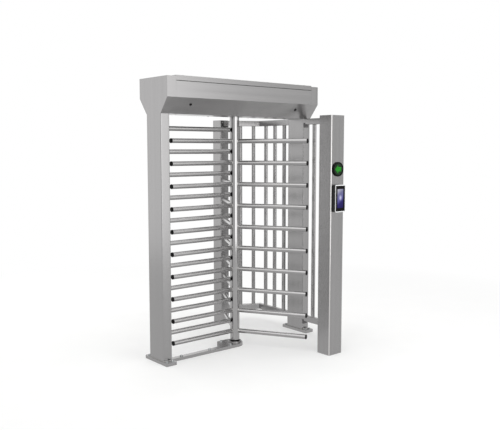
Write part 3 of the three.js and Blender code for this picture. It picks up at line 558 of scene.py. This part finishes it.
# Mirror-polished shaft: it shows the soft boxes as clean bright bands with dark ones between.
shaft_polish = steel("Polished stainless shaft", ("#A9A8A8", "#B1B0B0"), 0.09, None, 0.01, 0.01)


def saddle_weld(shell, angle, z):
    """A ring of weld round an arm, which follows the shaft's round wall."""
    turn = Matrix.Rotation(math.radians(angle), 3, "Z")
    rings = []
    for grow, out in SADDLE_WELD:
        ring = []
        for k in range(SADDLE_SIDES):
            a = 2 * math.pi * k / SADDLE_SIDES
            y = (TUBE_RADIUS + grow) * math.cos(a)
            u = (TUBE_RADIUS + grow) * math.sin(a)
            x = math.sqrt(SHAFT_RADIUS**2 - y**2) + out
            ring.append(turn @ Vector((x, y, u)) + Vector((0, 0, z)))
        rings.append(ring)
    skin(shell, rings, closed=True)


low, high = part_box("rotor_shaft")
shell = bmesh.new()
tube(shell, (0, 0, low.z * 1000), UP, (high.z - low.z) * 1000, SHAFT_RADIUS, SHAFT_WALL, 96)
fit(finish_mesh("shaft_tube", shell, shaft_polish), "rotor", "polished_stainless", "rotor_shaft")
caps = bmesh.new()
welds = bmesh.new()
for i, z in enumerate(LANE_HEIGHTS):
    number = f"{i + 1:02d}"
    level = Vector((0, 0, z))
    shell = bmesh.new()
    for angle in ARM_ANGLES:
        way = Vector((math.cos(math.radians(angle)), math.sin(math.radians(angle)), 0))
        tube(shell, way * ARM_ROOT + level, way, ARM_REACH - CAP_REACH + CAP_LAP - ARM_ROOT)
        cap(caps, way * ARM_REACH + level, way)
        saddle_weld(welds, angle, z)
    made = finish_mesh("arm_tubes_" + number, shell, tube_polish)
    fit(made, "rotor", "brushed_stainless", "arm_tier_" + number)
fit(finish_mesh("arm_end_caps", caps, nylon), "rotor", "black_plastic")
fit(finish_mesh("arm_welds", welds, weld_metal), "rotor", "brushed_stainless")

# Bottom pivot: a turned stainless pin, whose collar rests on the floor plate.
# A black nylon bush turns on it, and shows as the dark ring at the shaft's foot.
PIVOT_BOTTOM = 8.3
PIVOT = [
    (0, 23.3), (0.7, 24), (17, 24), (17, 55.2), (17.8, 56),
    (24, 56), (25, 55), (25, 24), (86.8, 24), (88, 22.8),
]
BUSH_BOTTOM = 33.7
BUSH = [
    (0, 25.2), (0, 39.0), (1.2, 40.8), (10.4, 40.8),
    (11.6, 39.6), (11.6, 35.5), (53.4, 35.5), (53.4, 25.2),
]
shell = bmesh.new()
turned(shell, PIVOT, (0, 0, PIVOT_BOTTOM), UP, 96)
fit(finish_mesh("pivot_pin", shell, shaft_polish), FRAME_BODY, "machined_steel", "floor_pivot")
shell = bmesh.new()
turned(shell, BUSH, (0, 0, BUSH_BOTTOM), UP, 72, closed=True)
fit(finish_mesh("foot_bush", shell, nylon), "rotor", "black_plastic", "floor_bush")

# Canopy: 2.5 mm brushed stainless sheet, laser-cut, folded and deburred.
# The two heads sit on the posts; the covers, soffit and lid span between them.
HEAD_EDGE = 1.4
SHEET_EDGE = 1.1
PLATED_EDGE = 0.8
for node in ("left_head", "right_head"):
    eased(node, upright_grain, "brushed_stainless", HEAD_EDGE)
eased("front_cover", long_grain, "brushed_stainless", SHEET_EDGE, "front_cover")
for node in ("rear_cover", "soffit_panel", "lid"):
    eased(node, long_grain, "brushed_stainless", SHEET_EDGE)
# Zinc-plated sheet: a cloudy grey, a little bluer than the stainless, with wide soft highlights.
zinc_sheet = steel("Zinc-plated sheet steel", ("#9EA1A2", "#B5B8B8"), 0.34, (14, 14, 14), 0.06, 0.08)
for node in ("lid_rail_front", "lid_rail_rear", "header_beam"):
    eased(node, zinc_sheet, "zinc_plated_steel", PLATED_EDGE)
# Turned steel: darker and cooler, with close tool marks round it under a film of oil.
turned_steel = steel("Turned steel, lightly oiled", ("#8F9194", "#A2A4A6"), 0.24, (6, 6, 0.9), 0.04, 0.1)
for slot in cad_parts["hinge_rod"].material_slots:
    slot.material = turned_steel

# Canopy screws: stainless button heads with a round key recess, polished as the shaft is.
# They hold the lid down on its rails, the soffit up to the beam, and the rear cover.
SCREW_RADIUS = 6.0
BUTTON_HEAD = [
    (-0.5, SCREW_RADIUS - 0.8), (-0.5, SCREW_RADIUS), (0.8, SCREW_RADIUS), (2.2, SCREW_RADIUS - 1),
    (3.2, 3.4), (3.2, 2.3), (1.4, 2.1), (1.4, 0.3),
]
SCREW_PLACES = (-640, -215, 215, 640)
LID_SCREWS = (178, 2228)
REAR_SCREWS = (195, 2150)
SOFFIT_SCREWS = (78, 1945)


def button_head(shell, place, way):
    """A button-head screw, drawn from the sheet outward."""
    turned(shell, BUTTON_HEAD, place, way, 32)


screws = bmesh.new()
for x in SCREW_PLACES:
    for side in (-1, 1):
        button_head(screws, (x, side * LID_SCREWS[0], LID_SCREWS[1]), UP)
    button_head(screws, (x, *REAR_SCREWS), (0, 1, 0))
    for side in (-1, 1):
        button_head(screws, (x, side * SOFFIT_SCREWS[0], SOFFIT_SCREWS[1]), (0, 0, -1))
fit(finish_mesh("canopy_screws", screws, shaft_polish, 50), FRAME_BODY, "polished_stainless")

# Cover locks: black die-cast cam locks, whose steel tongue hooks behind the beam's lip.
# Each sits in the sloping face of the front cover, and turns with a flat key.
COVER_EDGE = (-195, 2065)  # the fold at the top of the slope, in Y and Z
SLOPE_DOWN = Vector((0, 95, -120)).normalized()
SLOPE_OUT = Vector((0, -120, -95)).normalized()
LOCK_DOWN_SLOPE = 62
LOCK_PLACES = (("left", -555.0), ("right", 555.0))
LOCK_BARREL = [
    (-26, 8.4), (-25, 9.0), (0.3, 9.0), (0.3, 11.5), (2.2, 11.5),
    (3.3, 10.2), (3.0, 7.6), (2.2, 7.2), (2.2, 1.0),
]
TONGUE_HALF = 7.0
TONGUE_REACH = 48
TONGUE_DEPTHS = (-29, -26.1)
TONGUE_STEPS = 12
# Black passivate on zinc: a dull black with a weak metal sheen where it faces the light.
black_cast = steel("Black-passivated zinc casting", ("#0C0C0C", "#1A1A1A"), 0.4, (3, 3, 3), 0.08, 0.1)
black_cast.node_tree.nodes["Principled BSDF"].inputs["Metallic"].default_value = 0.6
for name, x in LOCK_PLACES:
    centre = Vector((x, *COVER_EDGE)) + SLOPE_DOWN * LOCK_DOWN_SLOPE
    body = "cover_lock_" + name
    shell = bmesh.new()
    turned(shell, LOCK_BARREL, centre, SLOPE_OUT, 48)
    made = finish_mesh("lock_barrel_" + name, shell, black_cast)
    fit(made, body, "black_plastic", "cover_lock_" + name)
    ring = []
    for start, middle in ((math.pi / 2, 0), (-math.pi / 2, TONGUE_REACH - TONGUE_HALF)):
        for k in range(TONGUE_STEPS + 1):
            a = start + math.pi * k / TONGUE_STEPS
            along = middle + TONGUE_HALF * math.cos(a)
            ring.append(Vector((along, 0, 0)) + SLOPE_DOWN * (TONGUE_HALF * math.sin(a)))
    shell = bmesh.new()
    skin(shell, [[centre + SLOPE_OUT * depth + p for p in ring] for depth in TONGUE_DEPTHS])
    fit(finish_mesh("lock_tongue_" + name, shell, turned_steel), body, "black_plastic")

# Mechanism: cast and plated parts in the canopy, which show when the front cover is open.
# The bearing housing, cam and lock wheel are turned and milled; levers and brackets are cut sheet.
MACHINED = (
    ("bearing_housing", FRAME_BODY, 1.5),
    ("index_cam", "rotor", 1.0),
    ("lock_wheel", "rotor", 0.8),
    ("lock_pawl_front", "lock_pawl_front", 0.8),
    ("lock_pawl_rear", "lock_pawl_rear", 0.8),
)
PLATED = (
    ("index_arm", "index_arm"),
    ("lock_solenoid_front", FRAME_BODY),
    ("lock_solenoid_rear", FRAME_BODY),
)
ROLLER_PLACE = (98.6, 0, 2000.3)
ROLLER = [(0, 5.4), (0, 13.2), (0.8, 14), (15.2, 14), (16, 13.2), (16, 5.4)]
BEARING_BOTTOM = 1964.5
BEARING = [
    (0, 40.4), (0, 46), (1.5, 46.5), (1.5, 52), (0, 52.5), (0, 57.8),
    (24, 57.8), (24, 52.5), (22.5, 52), (22.5, 46.5), (24, 46), (24, 40.4),
]
for node, body, radius in MACHINED:
    eased(node, turned_steel, "machined_steel", radius, body)
for node, body in PLATED:
    eased(node, zinc_sheet, "zinc_plated_steel", PLATED_EDGE, body)
# Moulded enclosure: a pale, cool grey with a matt grain that hides scratches.
ENCLOSURE = [(0.3, "#A9ADB0"), (0.7, "#B4B8BA")]
enclosure = moulded("Light grey moulded enclosure", ENCLOSURE, 1.4, 0.55, 1.5, relief=0.3)
eased("control_box", enclosure, "grey_plastic", 3.0)
shell = bmesh.new()
turned(shell, ROLLER, ROLLER_PLACE, UP, 56, closed=True)
fit(finish_mesh("roller_tyre", shell, nylon), "index_roller", "black_plastic", "index_roller")
shell = bmesh.new()
turned(shell, BEARING, (0, 0, BEARING_BOTTOM), UP, 96, closed=True)
fit(finish_mesh("bearing_races", shell, shaft_polish), FRAME_BODY, "polished_stainless", "top_bearing")

# Mechanism fastenings: hexagon bolts through the bearing flange, screws in the enclosure's lid,
# cable glands in its side, and the wound coils of the two solenoids.
FLANGE_BOLT = 61
FLANGE_TOP = 1962.5
FLANGE_WASHER = [(0, 10), (1.6, 10), (1.6, 4)]
FLANGE_HEAD = [(1.6, 7.1), (6.6, 7.5), (7.4, 6.4)]
BOX_SCREWS = [(x, y, 2032.5) for x in (262, 458) for y in (-48, 48)]
GLAND_ROW = (-30, 0, 30)
GLAND_PLACE = (250, 1988)  # the enclosure's side in X, and the glands' height
GLAND = [(-1, 9), (3, 9), (3, 7.5), (9, 7.5), (12, 5.2), (12, 3.5)]
COIL_PLACE = (-165, 52, 2036)
COIL = [(0, 9), (0, 18.2), (1, 19), (35, 19), (36, 18.2), (36, 9)]
bolts = bmesh.new()
for x in (-FLANGE_BOLT, FLANGE_BOLT):
    for y in (-FLANGE_BOLT, FLANGE_BOLT):
        turned(bolts, FLANGE_WASHER, (x, y, FLANGE_TOP), UP, 32)
        turned(bolts, FLANGE_HEAD, (x, y, FLANGE_TOP), UP, 6)
for place in BOX_SCREWS:
    button_head(bolts, place, UP)
fit(finish_mesh("mechanism_bolts", bolts, zinc_bolt, 25), FRAME_BODY, "zinc_plated_steel")
glands = bmesh.new()
for y in GLAND_ROW:
    turned(glands, GLAND, (GLAND_PLACE[0], y, GLAND_PLACE[1]), (-1, 0, 0), 32)
fit(finish_mesh("cable_glands", glands, nylon), FRAME_BODY, "black_plastic")
# Lacquered copper winding: warm, glossy and finely ribbed.
winding = steel("Lacquered copper winding", ("#7A4326", "#9A5A34"), 0.3, (1.1, 30, 30), 0.04, 0.3)
coils = bmesh.new()
for side in (-1, 1):
    place = (COIL_PLACE[0], side * COIL_PLACE[1], COIL_PLACE[2])
    turned(coils, COIL, place, (1, 0, 0), 48, closed=True)
fit(finish_mesh("solenoid_coils", coils, winding), FRAME_BODY, "zinc_plated_steel")

# Cage grilles: round stainless uprights welded between two box rails, four flat panels in all.
# The side panels run along the lane, and the corner panels close it to the slim posts.
RAIL_WIDTH = 40.0
RAIL_HEIGHT = 52.0
RAIL_WALL = 2
RAIL_FOLD = 4.0
RAIL_LEVELS = (131.0, 1919.0)
BAR_RADIUS = 18.0
BAR_WALL = 2
BAR_INSET = 3  # how far a bar reaches into its rails
BAR_SPACING = 128.5
CORNER_FIRST_BAR = 65
CAGE_X = 736.0
CAGE_START = 100  # from the middle of the gate to the main post's face
CAGE_BEND = 520.0
PANEL_GAP = 0.15
# Brushed rails: their grain runs front to back, so the side rails carry long faint streaks.
cross_grain = steel("Brushed stainless, crosswise grain", SHEET, 0.25, (1.5, 60, 1.5))


def grille(name, node, start, way, length, bars, start_slope, end_slope):
    """A flat panel of two rails and its upright tubes; slopes mitre its ends."""
    way = Vector((way[0], way[1], 0)).normalized()
    left = Vector((-way.y, way.x, 0))
    base = Vector((start[0], start[1], 0))
    outer = box_ring(RAIL_WIDTH, RAIL_HEIGHT, RAIL_FOLD)
    inner = box_ring(RAIL_WIDTH - 2 * RAIL_WALL, RAIL_HEIGHT - 2 * RAIL_WALL, RAIL_FOLD - RAIL_WALL)
    ends = ((outer, 0, start_slope), (outer, length, end_slope))
    ends += ((inner, length, end_slope), (inner, 0, start_slope))
    shell = bmesh.new()
    for level in RAIL_LEVELS:
        rings = []
        for shape, at, tilt in ends:
            ring = []
            for y, z in shape:
                ring.append(base + way * (at + y * tilt) + left * y + Vector((0, 0, level + z)))
            rings.append(ring)
        skin(shell, rings, closed=True)
    fit(finish_mesh(name + "_rails", shell, cross_grain), FRAME_BODY, "brushed_stainless", node)
    uprights = bmesh.new()
    beads = bmesh.new()
    low = RAIL_LEVELS[0] + RAIL_HEIGHT / 2
    high = RAIL_LEVELS[1] - RAIL_HEIGHT / 2
    for at in bars:
        foot = base + way * at
        bottom = foot + Vector((0, 0, low - BAR_INSET))
        tube(uprights, bottom, UP, high - low + 2 * BAR_INSET, BAR_RADIUS, BAR_WALL)
        bead(beads, foot + Vector((0, 0, low)), UP, BAR_RADIUS)
        bead(beads, foot + Vector((0, 0, high)), (0, 0, -1), BAR_RADIUS)
    fit(finish_mesh(name + "_uprights", uprights, tube_polish), FRAME_BODY, "brushed_stainless")
    fit(finish_mesh(name + "_welds", beads, weld_metal), FRAME_BODY, "brushed_stainless")


def cage(side, name, post_x, post_y, first):
    """One half of the cage: a side panel, and a corner panel from its bend to the slim post."""
    bend = Vector((CAGE_X, CAGE_BEND))
    along = Vector((post_x, post_y)) - bend
    angle = math.atan2(-along.x, along.y)
    mitre = math.tan(angle / 2)
    corner = bend + along.normalized() * PANEL_GAP
    grille(
        name + "_side",
        name + "_side_grille",
        (CAGE_X, CAGE_START * side),
        (0, side),
        CAGE_BEND - CAGE_START - PANEL_GAP,
        [first + BAR_SPACING * i for i in range(3)],
        0,
        -mitre * side,
    )
    grille(
        name + "_corner",
        name + "_corner_grille",
        (corner.x, corner.y * side),
        (along.x, along.y * side),
        along.length - PANEL_GAP,
        [CORNER_FIRST_BAR + BAR_SPACING * i for i in range(2)],
        mitre * side,
        -side / math.tan(angle),
    )


cage(1, "rear", post_x=432, post_y=686, first=76)
cage(-1, "front", post_x=519, post_y=695.5, first=114)

# Rear post bracket: a flat steel angle, cut from 4 mm sheet, whose black is painted shade: it fills the L of
# shade left of and below the rail's end on the post.
# Three button-head screws hold it flat to the post's lane side, near its top.
TO_FRONT = (0, -1, 0)
BRACKET = [(345, 1940), (345, 1867), (428, 1867), (428, 1890), (371, 1890), (371, 1940)]
BRACKET_FACES = (624.9, 620.9)
BRACKET_SCREWS = ((358, 1925), (358, 1880), (412, 1878))
# Painted shade: an even, dull black with a faint ripple in its skin, standing in for the shade by the rail's
# end.
black_painted_shade = steel("Black steel as painted shade", ("#101010", "#181818"), 0.5, (2, 2, 2), 0.04, 0.15)
black_painted_shade.node_tree.nodes["Principled BSDF"].inputs["Metallic"].default_value = 0.0


def ease_all(shell, radius, steps):
    """Rounds every square edge of a plain drawn solid."""
    bmesh.ops.recalc_face_normals(shell, faces=shell.faces)
    ease_edges(shell, [e for e in shell.edges if e.calc_face_angle(0) > 1], radius, steps)


bracket = bmesh.new()
skin(bracket, [[(x, y, z) for x, z in BRACKET] for y in BRACKET_FACES])
ease_all(bracket, 0.8, 2)
fit(finish_mesh("rear_post_bracket", bracket, black_painted_shade, 40), FRAME_BODY, "black_plastic")
screws = bmesh.new()
for x, z in BRACKET_SCREWS:
    button_head(screws, (x, BRACKET_FACES[1], z), TO_FRONT)
fit(finish_mesh("bracket_screws", screws, shaft_polish, 50), FRAME_BODY, "polished_stainless")

# Rail cradles: grey moulded saddles on the right post, which carry the front side rails.
# They are of filled nylon, with a wall on each side of the rail, and their dark grey is painted shade for
# the shade under each rail.
CRADLE_WALL = 4.0
CRADLE_DEPTH = 16.0
CRADLE_BELOW = 25
CRADLE_ABOVE = 15
CRADLE_PLAY = 0.2
CRADLE_GAP = 0.1
# Filled nylon: a flat mid grey with a faint grain, painted darker than the steel about it as the shade under
# the rails.
NYLON_SHADE_GREYS = [(0.35, "#636162"), (0.7, "#6C6A6B")]
nylon_painted_shade = moulded("Grey nylon with painted shade", NYLON_SHADE_GREYS, 1.1, 0.5, 1.53)
front = CAGE_START + CRADLE_GAP
inner = RAIL_WIDTH / 2 + CRADLE_PLAY
outer = inner + CRADLE_WALL
cradles = bmesh.new()
for level in RAIL_LEVELS:
    low = level - RAIL_HEIGHT / 2
    shape = [
        (-outer, low - CRADLE_BELOW),
        (outer, low - CRADLE_BELOW),
        (outer, low + CRADLE_ABOVE),
        (inner, low + CRADLE_ABOVE),
        (inner, low - CRADLE_PLAY),
        (-inner, low - CRADLE_PLAY),
        (-inner, low + CRADLE_ABOVE),
        (-outer, low + CRADLE_ABOVE),
    ]
    skin(cradles, [[(CAGE_X + x, -y, z) for x, z in shape] for y in (front, front + CRADLE_DEPTH)])
ease_all(cradles, 1.0, 3)
fit(finish_mesh("rail_cradles", cradles, nylon_painted_shade, 40), FRAME_BODY, "grey_plastic")

# Indicator light: a black moulded bezel round a dark panel of domed diodes.
# It sits on the reader post's face, and its lit diodes make an arrow that points into the lane.
POST_FACE = -763.0
LIGHT_X = 444.0
LIGHT_Z = 1516.0
LIGHT_PLACE = (LIGHT_X, POST_FACE, LIGHT_Z)
BEZEL = [(0, 52.5), (0, 58), (8.5, 58.4), (12.5, 57), (14, 55), (13.2, 53.2), (8.5, 52.5)]
PANEL = [(7, 52), (9, 52.2), (9.6, 51), (9.9, 40), (10.1, 22), (10.2, 4)]
PAINTED_DIODE_GLOW = {"From Min": 0.015, "From Max": 0.05}  # metres from the panel's middle
shell = bmesh.new()
turned(shell, BEZEL, LIGHT_PLACE, TO_FRONT, 96, closed=True)
fit(finish_mesh("light_surround", shell, nylon), FRAME_BODY, "black_plastic", "light_bezel")
# Tinted polycarbonate: almost black, with a clear gloss; round its middle the colour is painted greener, as
# painted light from the lit diodes.
panel = bpy.data.materials.new("Dark green polycarbonate panel")
panel.use_nodes = True
tree = panel.node_tree
surface = tree.nodes["Principled BSDF"]
place = add(tree, "TexCoord").outputs["Object"]
middle = (LIGHT_X / 1000, POST_FACE / 1000 - 0.01, LIGHT_Z / 1000)
out = add(tree, "VectorMath", {0: place, 1: middle}, operation="DISTANCE")
# Painted light: the panel's base colour turns greener within this reach of its middle, for the diodes' glow
# on it.
ring = add(tree, "MapRange", {"Value": out.outputs["Value"], **PAINTED_DIODE_GLOW})
tone = add(tree, "ValToRGB", {"Fac": ring.outputs["Result"]}, [(0.0, "#18351B"), (1.0, "#0A110A")])
tree.links.new(tone.outputs["Color"], surface.inputs["Base Color"])
surface.inputs["Roughness"].default_value = 0.18
surface.inputs["IOR"].default_value = 1.58
surface.inputs["Specular IOR Level"].default_value = 0.12
shell = bmesh.new()
turned(shell, PANEL, LIGHT_PLACE, TO_FRONT, 96)
fit(finish_mesh("light_window", shell, panel), FRAME_BODY, "green_lens", "light_lens")
# Lit diode: an even green glow, brighter at the crown of each dome.
diode = bpy.data.materials.new("Lit green diode")
diode.use_nodes = True
tree = diode.node_tree
surface = tree.nodes["Principled BSDF"]
edge = add(tree, "LayerWeight", {"Blend": 0.4})
tone = add(tree, "ValToRGB", {"Fac": edge.outputs["Facing"]}, [(0.2, "#38C02A"), (0.9, "#0F7A12")])
tree.links.new(tone.outputs["Color"], surface.inputs["Emission Color"])
surface.inputs["Base Color"].default_value = linear("#1F7A25")
surface.inputs["Emission Strength"].default_value = 0.42
surface.inputs["Specular IOR Level"].default_value = 0.2
surface.inputs["Roughness"].default_value = 0.3
# Unlit diode: a dark green bead with a painted sheen: its colour is paler where the dome faces the viewer
# and darker toward its rim.
unlit = bpy.data.materials.new("Unlit diode with painted sheen")
unlit.use_nodes = True
tree = unlit.node_tree
surface = tree.nodes["Principled BSDF"]
edge = add(tree, "LayerWeight", {"Blend": 0.4})
tone = add(tree, "ValToRGB", {"Fac": edge.outputs["Facing"]}, [(0.2, "#1D3A20"), (0.9, "#0E1A10")])
tree.links.new(tone.outputs["Color"], surface.inputs["Base Color"])
surface.inputs["Roughness"].default_value = 0.3
ARROW = (
    "....#.....",
    "...##.....",
    "..########",
    ".#########",
    "##########",
    ".#########",
    "..########",
    "...##.....",
    "....#.....",
)
DIODE_PITCH = 7.0
DIODE_ROWS = 6  # rows and columns on each side of the middle
DIODE_REACH = 6.6  # in pitches from the middle
LIT_DOME = [(9.0, 3.1), (10.6, 3.1), (11.8, 2.4), (12.6, 1.1)]
DARK_DOME = [(9.0, 2.0), (10.3, 2.0), (11.0, 1.0)]
lit_dots = bmesh.new()
dark_dots = bmesh.new()
for row in range(-DIODE_ROWS, DIODE_ROWS + 1):
    for column in range(-DIODE_ROWS, DIODE_ROWS + 1):
        if math.hypot(row, column) > DIODE_REACH:
            continue
        line = row + 4
        dot = column + 5
        lit = 0 <= line < len(ARROW) and 0 <= dot < len(ARROW[0]) and ARROW[line][dot] == "#"
        place = (LIGHT_X + column * DIODE_PITCH, POST_FACE, LIGHT_Z - row * DIODE_PITCH)
        turned(lit_dots if lit else dark_dots, LIT_DOME if lit else DARK_DOME, place, TO_FRONT, 14)
fit(finish_mesh("arrow_diodes", lit_dots, diode), FRAME_BODY, "green_lens")
fit(finish_mesh("unlit_diodes", dark_dots, unlit), FRAME_BODY, "green_lens")

# Reader: a wall terminal with a black moulded body, a thin silver frame and a printed glass face.
# The screen shows a plain violet ground, and a small lens looks out above it.
READER_Z = 1283.0
# Each plate: its width, height, corner radius and rounding, and how far it starts and ends off the post.
BODY_PLATE = (108, 216, 9, 2.0, 0, 30)
GLASS_PLATE = (106, 211, 7, 0.6, 29.5, 34.0)
SCREEN_PLATE = (67, 151, 2, 0.1, 33.9, 34.3)
FRAME_SIZE = (112, 220, 9)
FRAME_SIDE = 3.2
FRAME_END = 8.0
# The frame's section: how far in from its side and end, and how far off the post.
FRAME_SECTION = (
    (0, 0, 29.6),
    (0, 0, 34.0),
    (0.8, 0.8, 35.2),
    (FRAME_SIDE - 0.8, FRAME_END - 0.8, 35.6),
    (FRAME_SIDE, FRAME_END, 35.0),
    (FRAME_SIDE, FRAME_END, 29.6),
)
LENS_ABOVE = 88
LENS = [(33.8, 4.6), (34.9, 4.6), (35.1, 4.2), (34.6, 3.2), (34.8, 2.0), (35.0, 0.4)]
# Satin ABS: a dark grey that keeps a broad, dull highlight.
ABS = [(0.35, "#1B1C1C"), (0.7, "#272828")]
abs_shell = moulded("Black satin ABS", ABS, 0.9, 0.4, 1.54, specular=0.35, relief=0.2)
# Silver lacquer: a pale metallic paint, bright where it faces the light and grey at its side.
# Its flakes are under 0.1 mm, too fine to show, and are drawn at 0.7 mm.
FLAKE = 0.7
silver = bpy.data.materials.new("Silver lacquer on moulding")
silver.use_nodes = True
tree = silver.node_tree
surface = tree.nodes["Principled BSDF"]
place = add(tree, "TexCoord").outputs["Object"]
flake = add(tree, "TexNoise", {"Vector": place, "Scale": 1000 / FLAKE, "Detail": 1.0})
tone = add(tree, "ValToRGB", {"Fac": flake.outputs["Fac"]}, [(0.35, "#D6D7D8"), (0.65, "#E4E5E6")])
tree.links.new(tone.outputs["Color"], surface.inputs["Base Color"])
surface.inputs["Metallic"].default_value = 0.15
surface.inputs["Roughness"].default_value = 0.35
# Printed cover glass: black from the ink behind it, with a sharp reflection.
INK_DOT = 2.5  # width of the ink's faint unevenness
glass = bpy.data.materials.new("Black printed cover glass")
glass.use_nodes = True
tree = glass.node_tree
surface = tree.nodes["Principled BSDF"]
place = add(tree, "TexCoord").outputs["Object"]
ink = add(tree, "TexNoise", {"Vector": place, "Scale": 1000 / INK_DOT})
tone = add(tree, "ValToRGB", {"Fac": ink.outputs["Fac"]}, [(0.3, "#040404"), (0.7, "#070707")])
tree.links.new(tone.outputs["Color"], surface.inputs["Base Color"])
surface.inputs["Roughness"].default_value = 0.05
surface.inputs["IOR"].default_value = 1.52
surface.inputs["Specular IOR Level"].default_value = 0.12
# Lit screen: violet, lighter at the top and round a soft glow above its middle.
SCREEN_RISE = (-0.22, 0.0, 0.85)
SCREEN_SHAPE = (0.6, 0.0, 1.0)
SCREEN_GLOW = (0.31, 0.0, 0.54)
GLOW_FALL = {"From Min": 0.02, "From Max": 0.17, "To Min": 0.85, "To Max": 0}
VIOLET = [(0.0, "#160F52"), (0.33, "#2A2266"), (0.5, "#5E5C98"), (0.78, "#74749A"), (1.0, "#B0B0BE")]
screen = bpy.data.materials.new("Lit screen behind glass")
screen.use_nodes = True
tree = screen.node_tree
surface = tree.nodes["Principled BSDF"]
place = add(tree, "TexCoord").outputs["Generated"]
rise = add(tree, "VectorMath", {0: place, 1: SCREEN_RISE}, operation="DOT_PRODUCT")
height = add(tree, "Math", {0: rise.outputs["Value"], 1: -SCREEN_RISE[0]}, operation="ADD")
ground = add(tree, "ValToRGB", {"Fac": height.outputs[0]}, VIOLET)
flat = add(tree, "VectorMath", {0: place, 1: SCREEN_SHAPE}, operation="MULTIPLY")
out = add(tree, "VectorMath", {0: flat.outputs["Vector"], 1: SCREEN_GLOW}, operation="DISTANCE")
near = add(tree, "MapRange", {"Value": out.outputs["Value"], **GLOW_FALL})
lit = {"Factor": near.outputs["Result"], 6: ground.outputs["Color"], 7: linear("#D4D4F2")}
shown = add(tree, "Mix", lit, data_type="RGBA")
tree.links.new(shown.outputs[2], surface.inputs["Emission Color"])
surface.inputs["Emission Strength"].default_value = 1.0
surface.inputs["Base Color"].default_value = linear("#050505")
surface.inputs["Roughness"].default_value = 0.06
surface.inputs["IOR"].default_value = 1.52
surface.inputs["Specular IOR Level"].default_value = 0.12


def off_post(outline, distance):
    """Stands an outline upright, at a distance from the reader post's face."""
    return [(LIGHT_X - x, POST_FACE - distance, READER_Z + z) for x, z in outline]


for name, plate, material, nodes in (
    ("reader_body", BODY_PLATE, abs_shell, ("reader",)),
    ("reader_glass", GLASS_PLATE, glass, ()),
    ("reader_screen", SCREEN_PLATE, screen, ()),
):
    width, height, radius, ease, near, far = plate
    rings = []
    for distance, less in ((near, 0), (far - ease, 0), (far - ease * 0.3, ease * 0.3), (far, ease)):
        outline = box_ring(width - 2 * less, height - 2 * less, max(radius - less, 0.5))
        rings.append(off_post(outline, distance))
    shell = bmesh.new()
    skin(shell, rings)
    fit(finish_mesh(name, shell, material), FRAME_BODY, "black_plastic", *nodes)
width, height, radius = FRAME_SIZE
rings = []
for side, end, distance in FRAME_SECTION:
    rings.append(off_post(box_ring(width - 2 * side, height - 2 * end, radius - side), distance))
shell = bmesh.new()
skin(shell, rings, closed=True)
fit(finish_mesh("reader_frame", shell, silver), FRAME_BODY, "zinc_plated_steel")
shell = bmesh.new()
turned(shell, LENS, (LIGHT_X, POST_FACE, READER_Z + LENS_ABOVE), TO_FRONT, 40)
fit(finish_mesh("reader_lens", shell, glass), FRAME_BODY, "black_plastic")
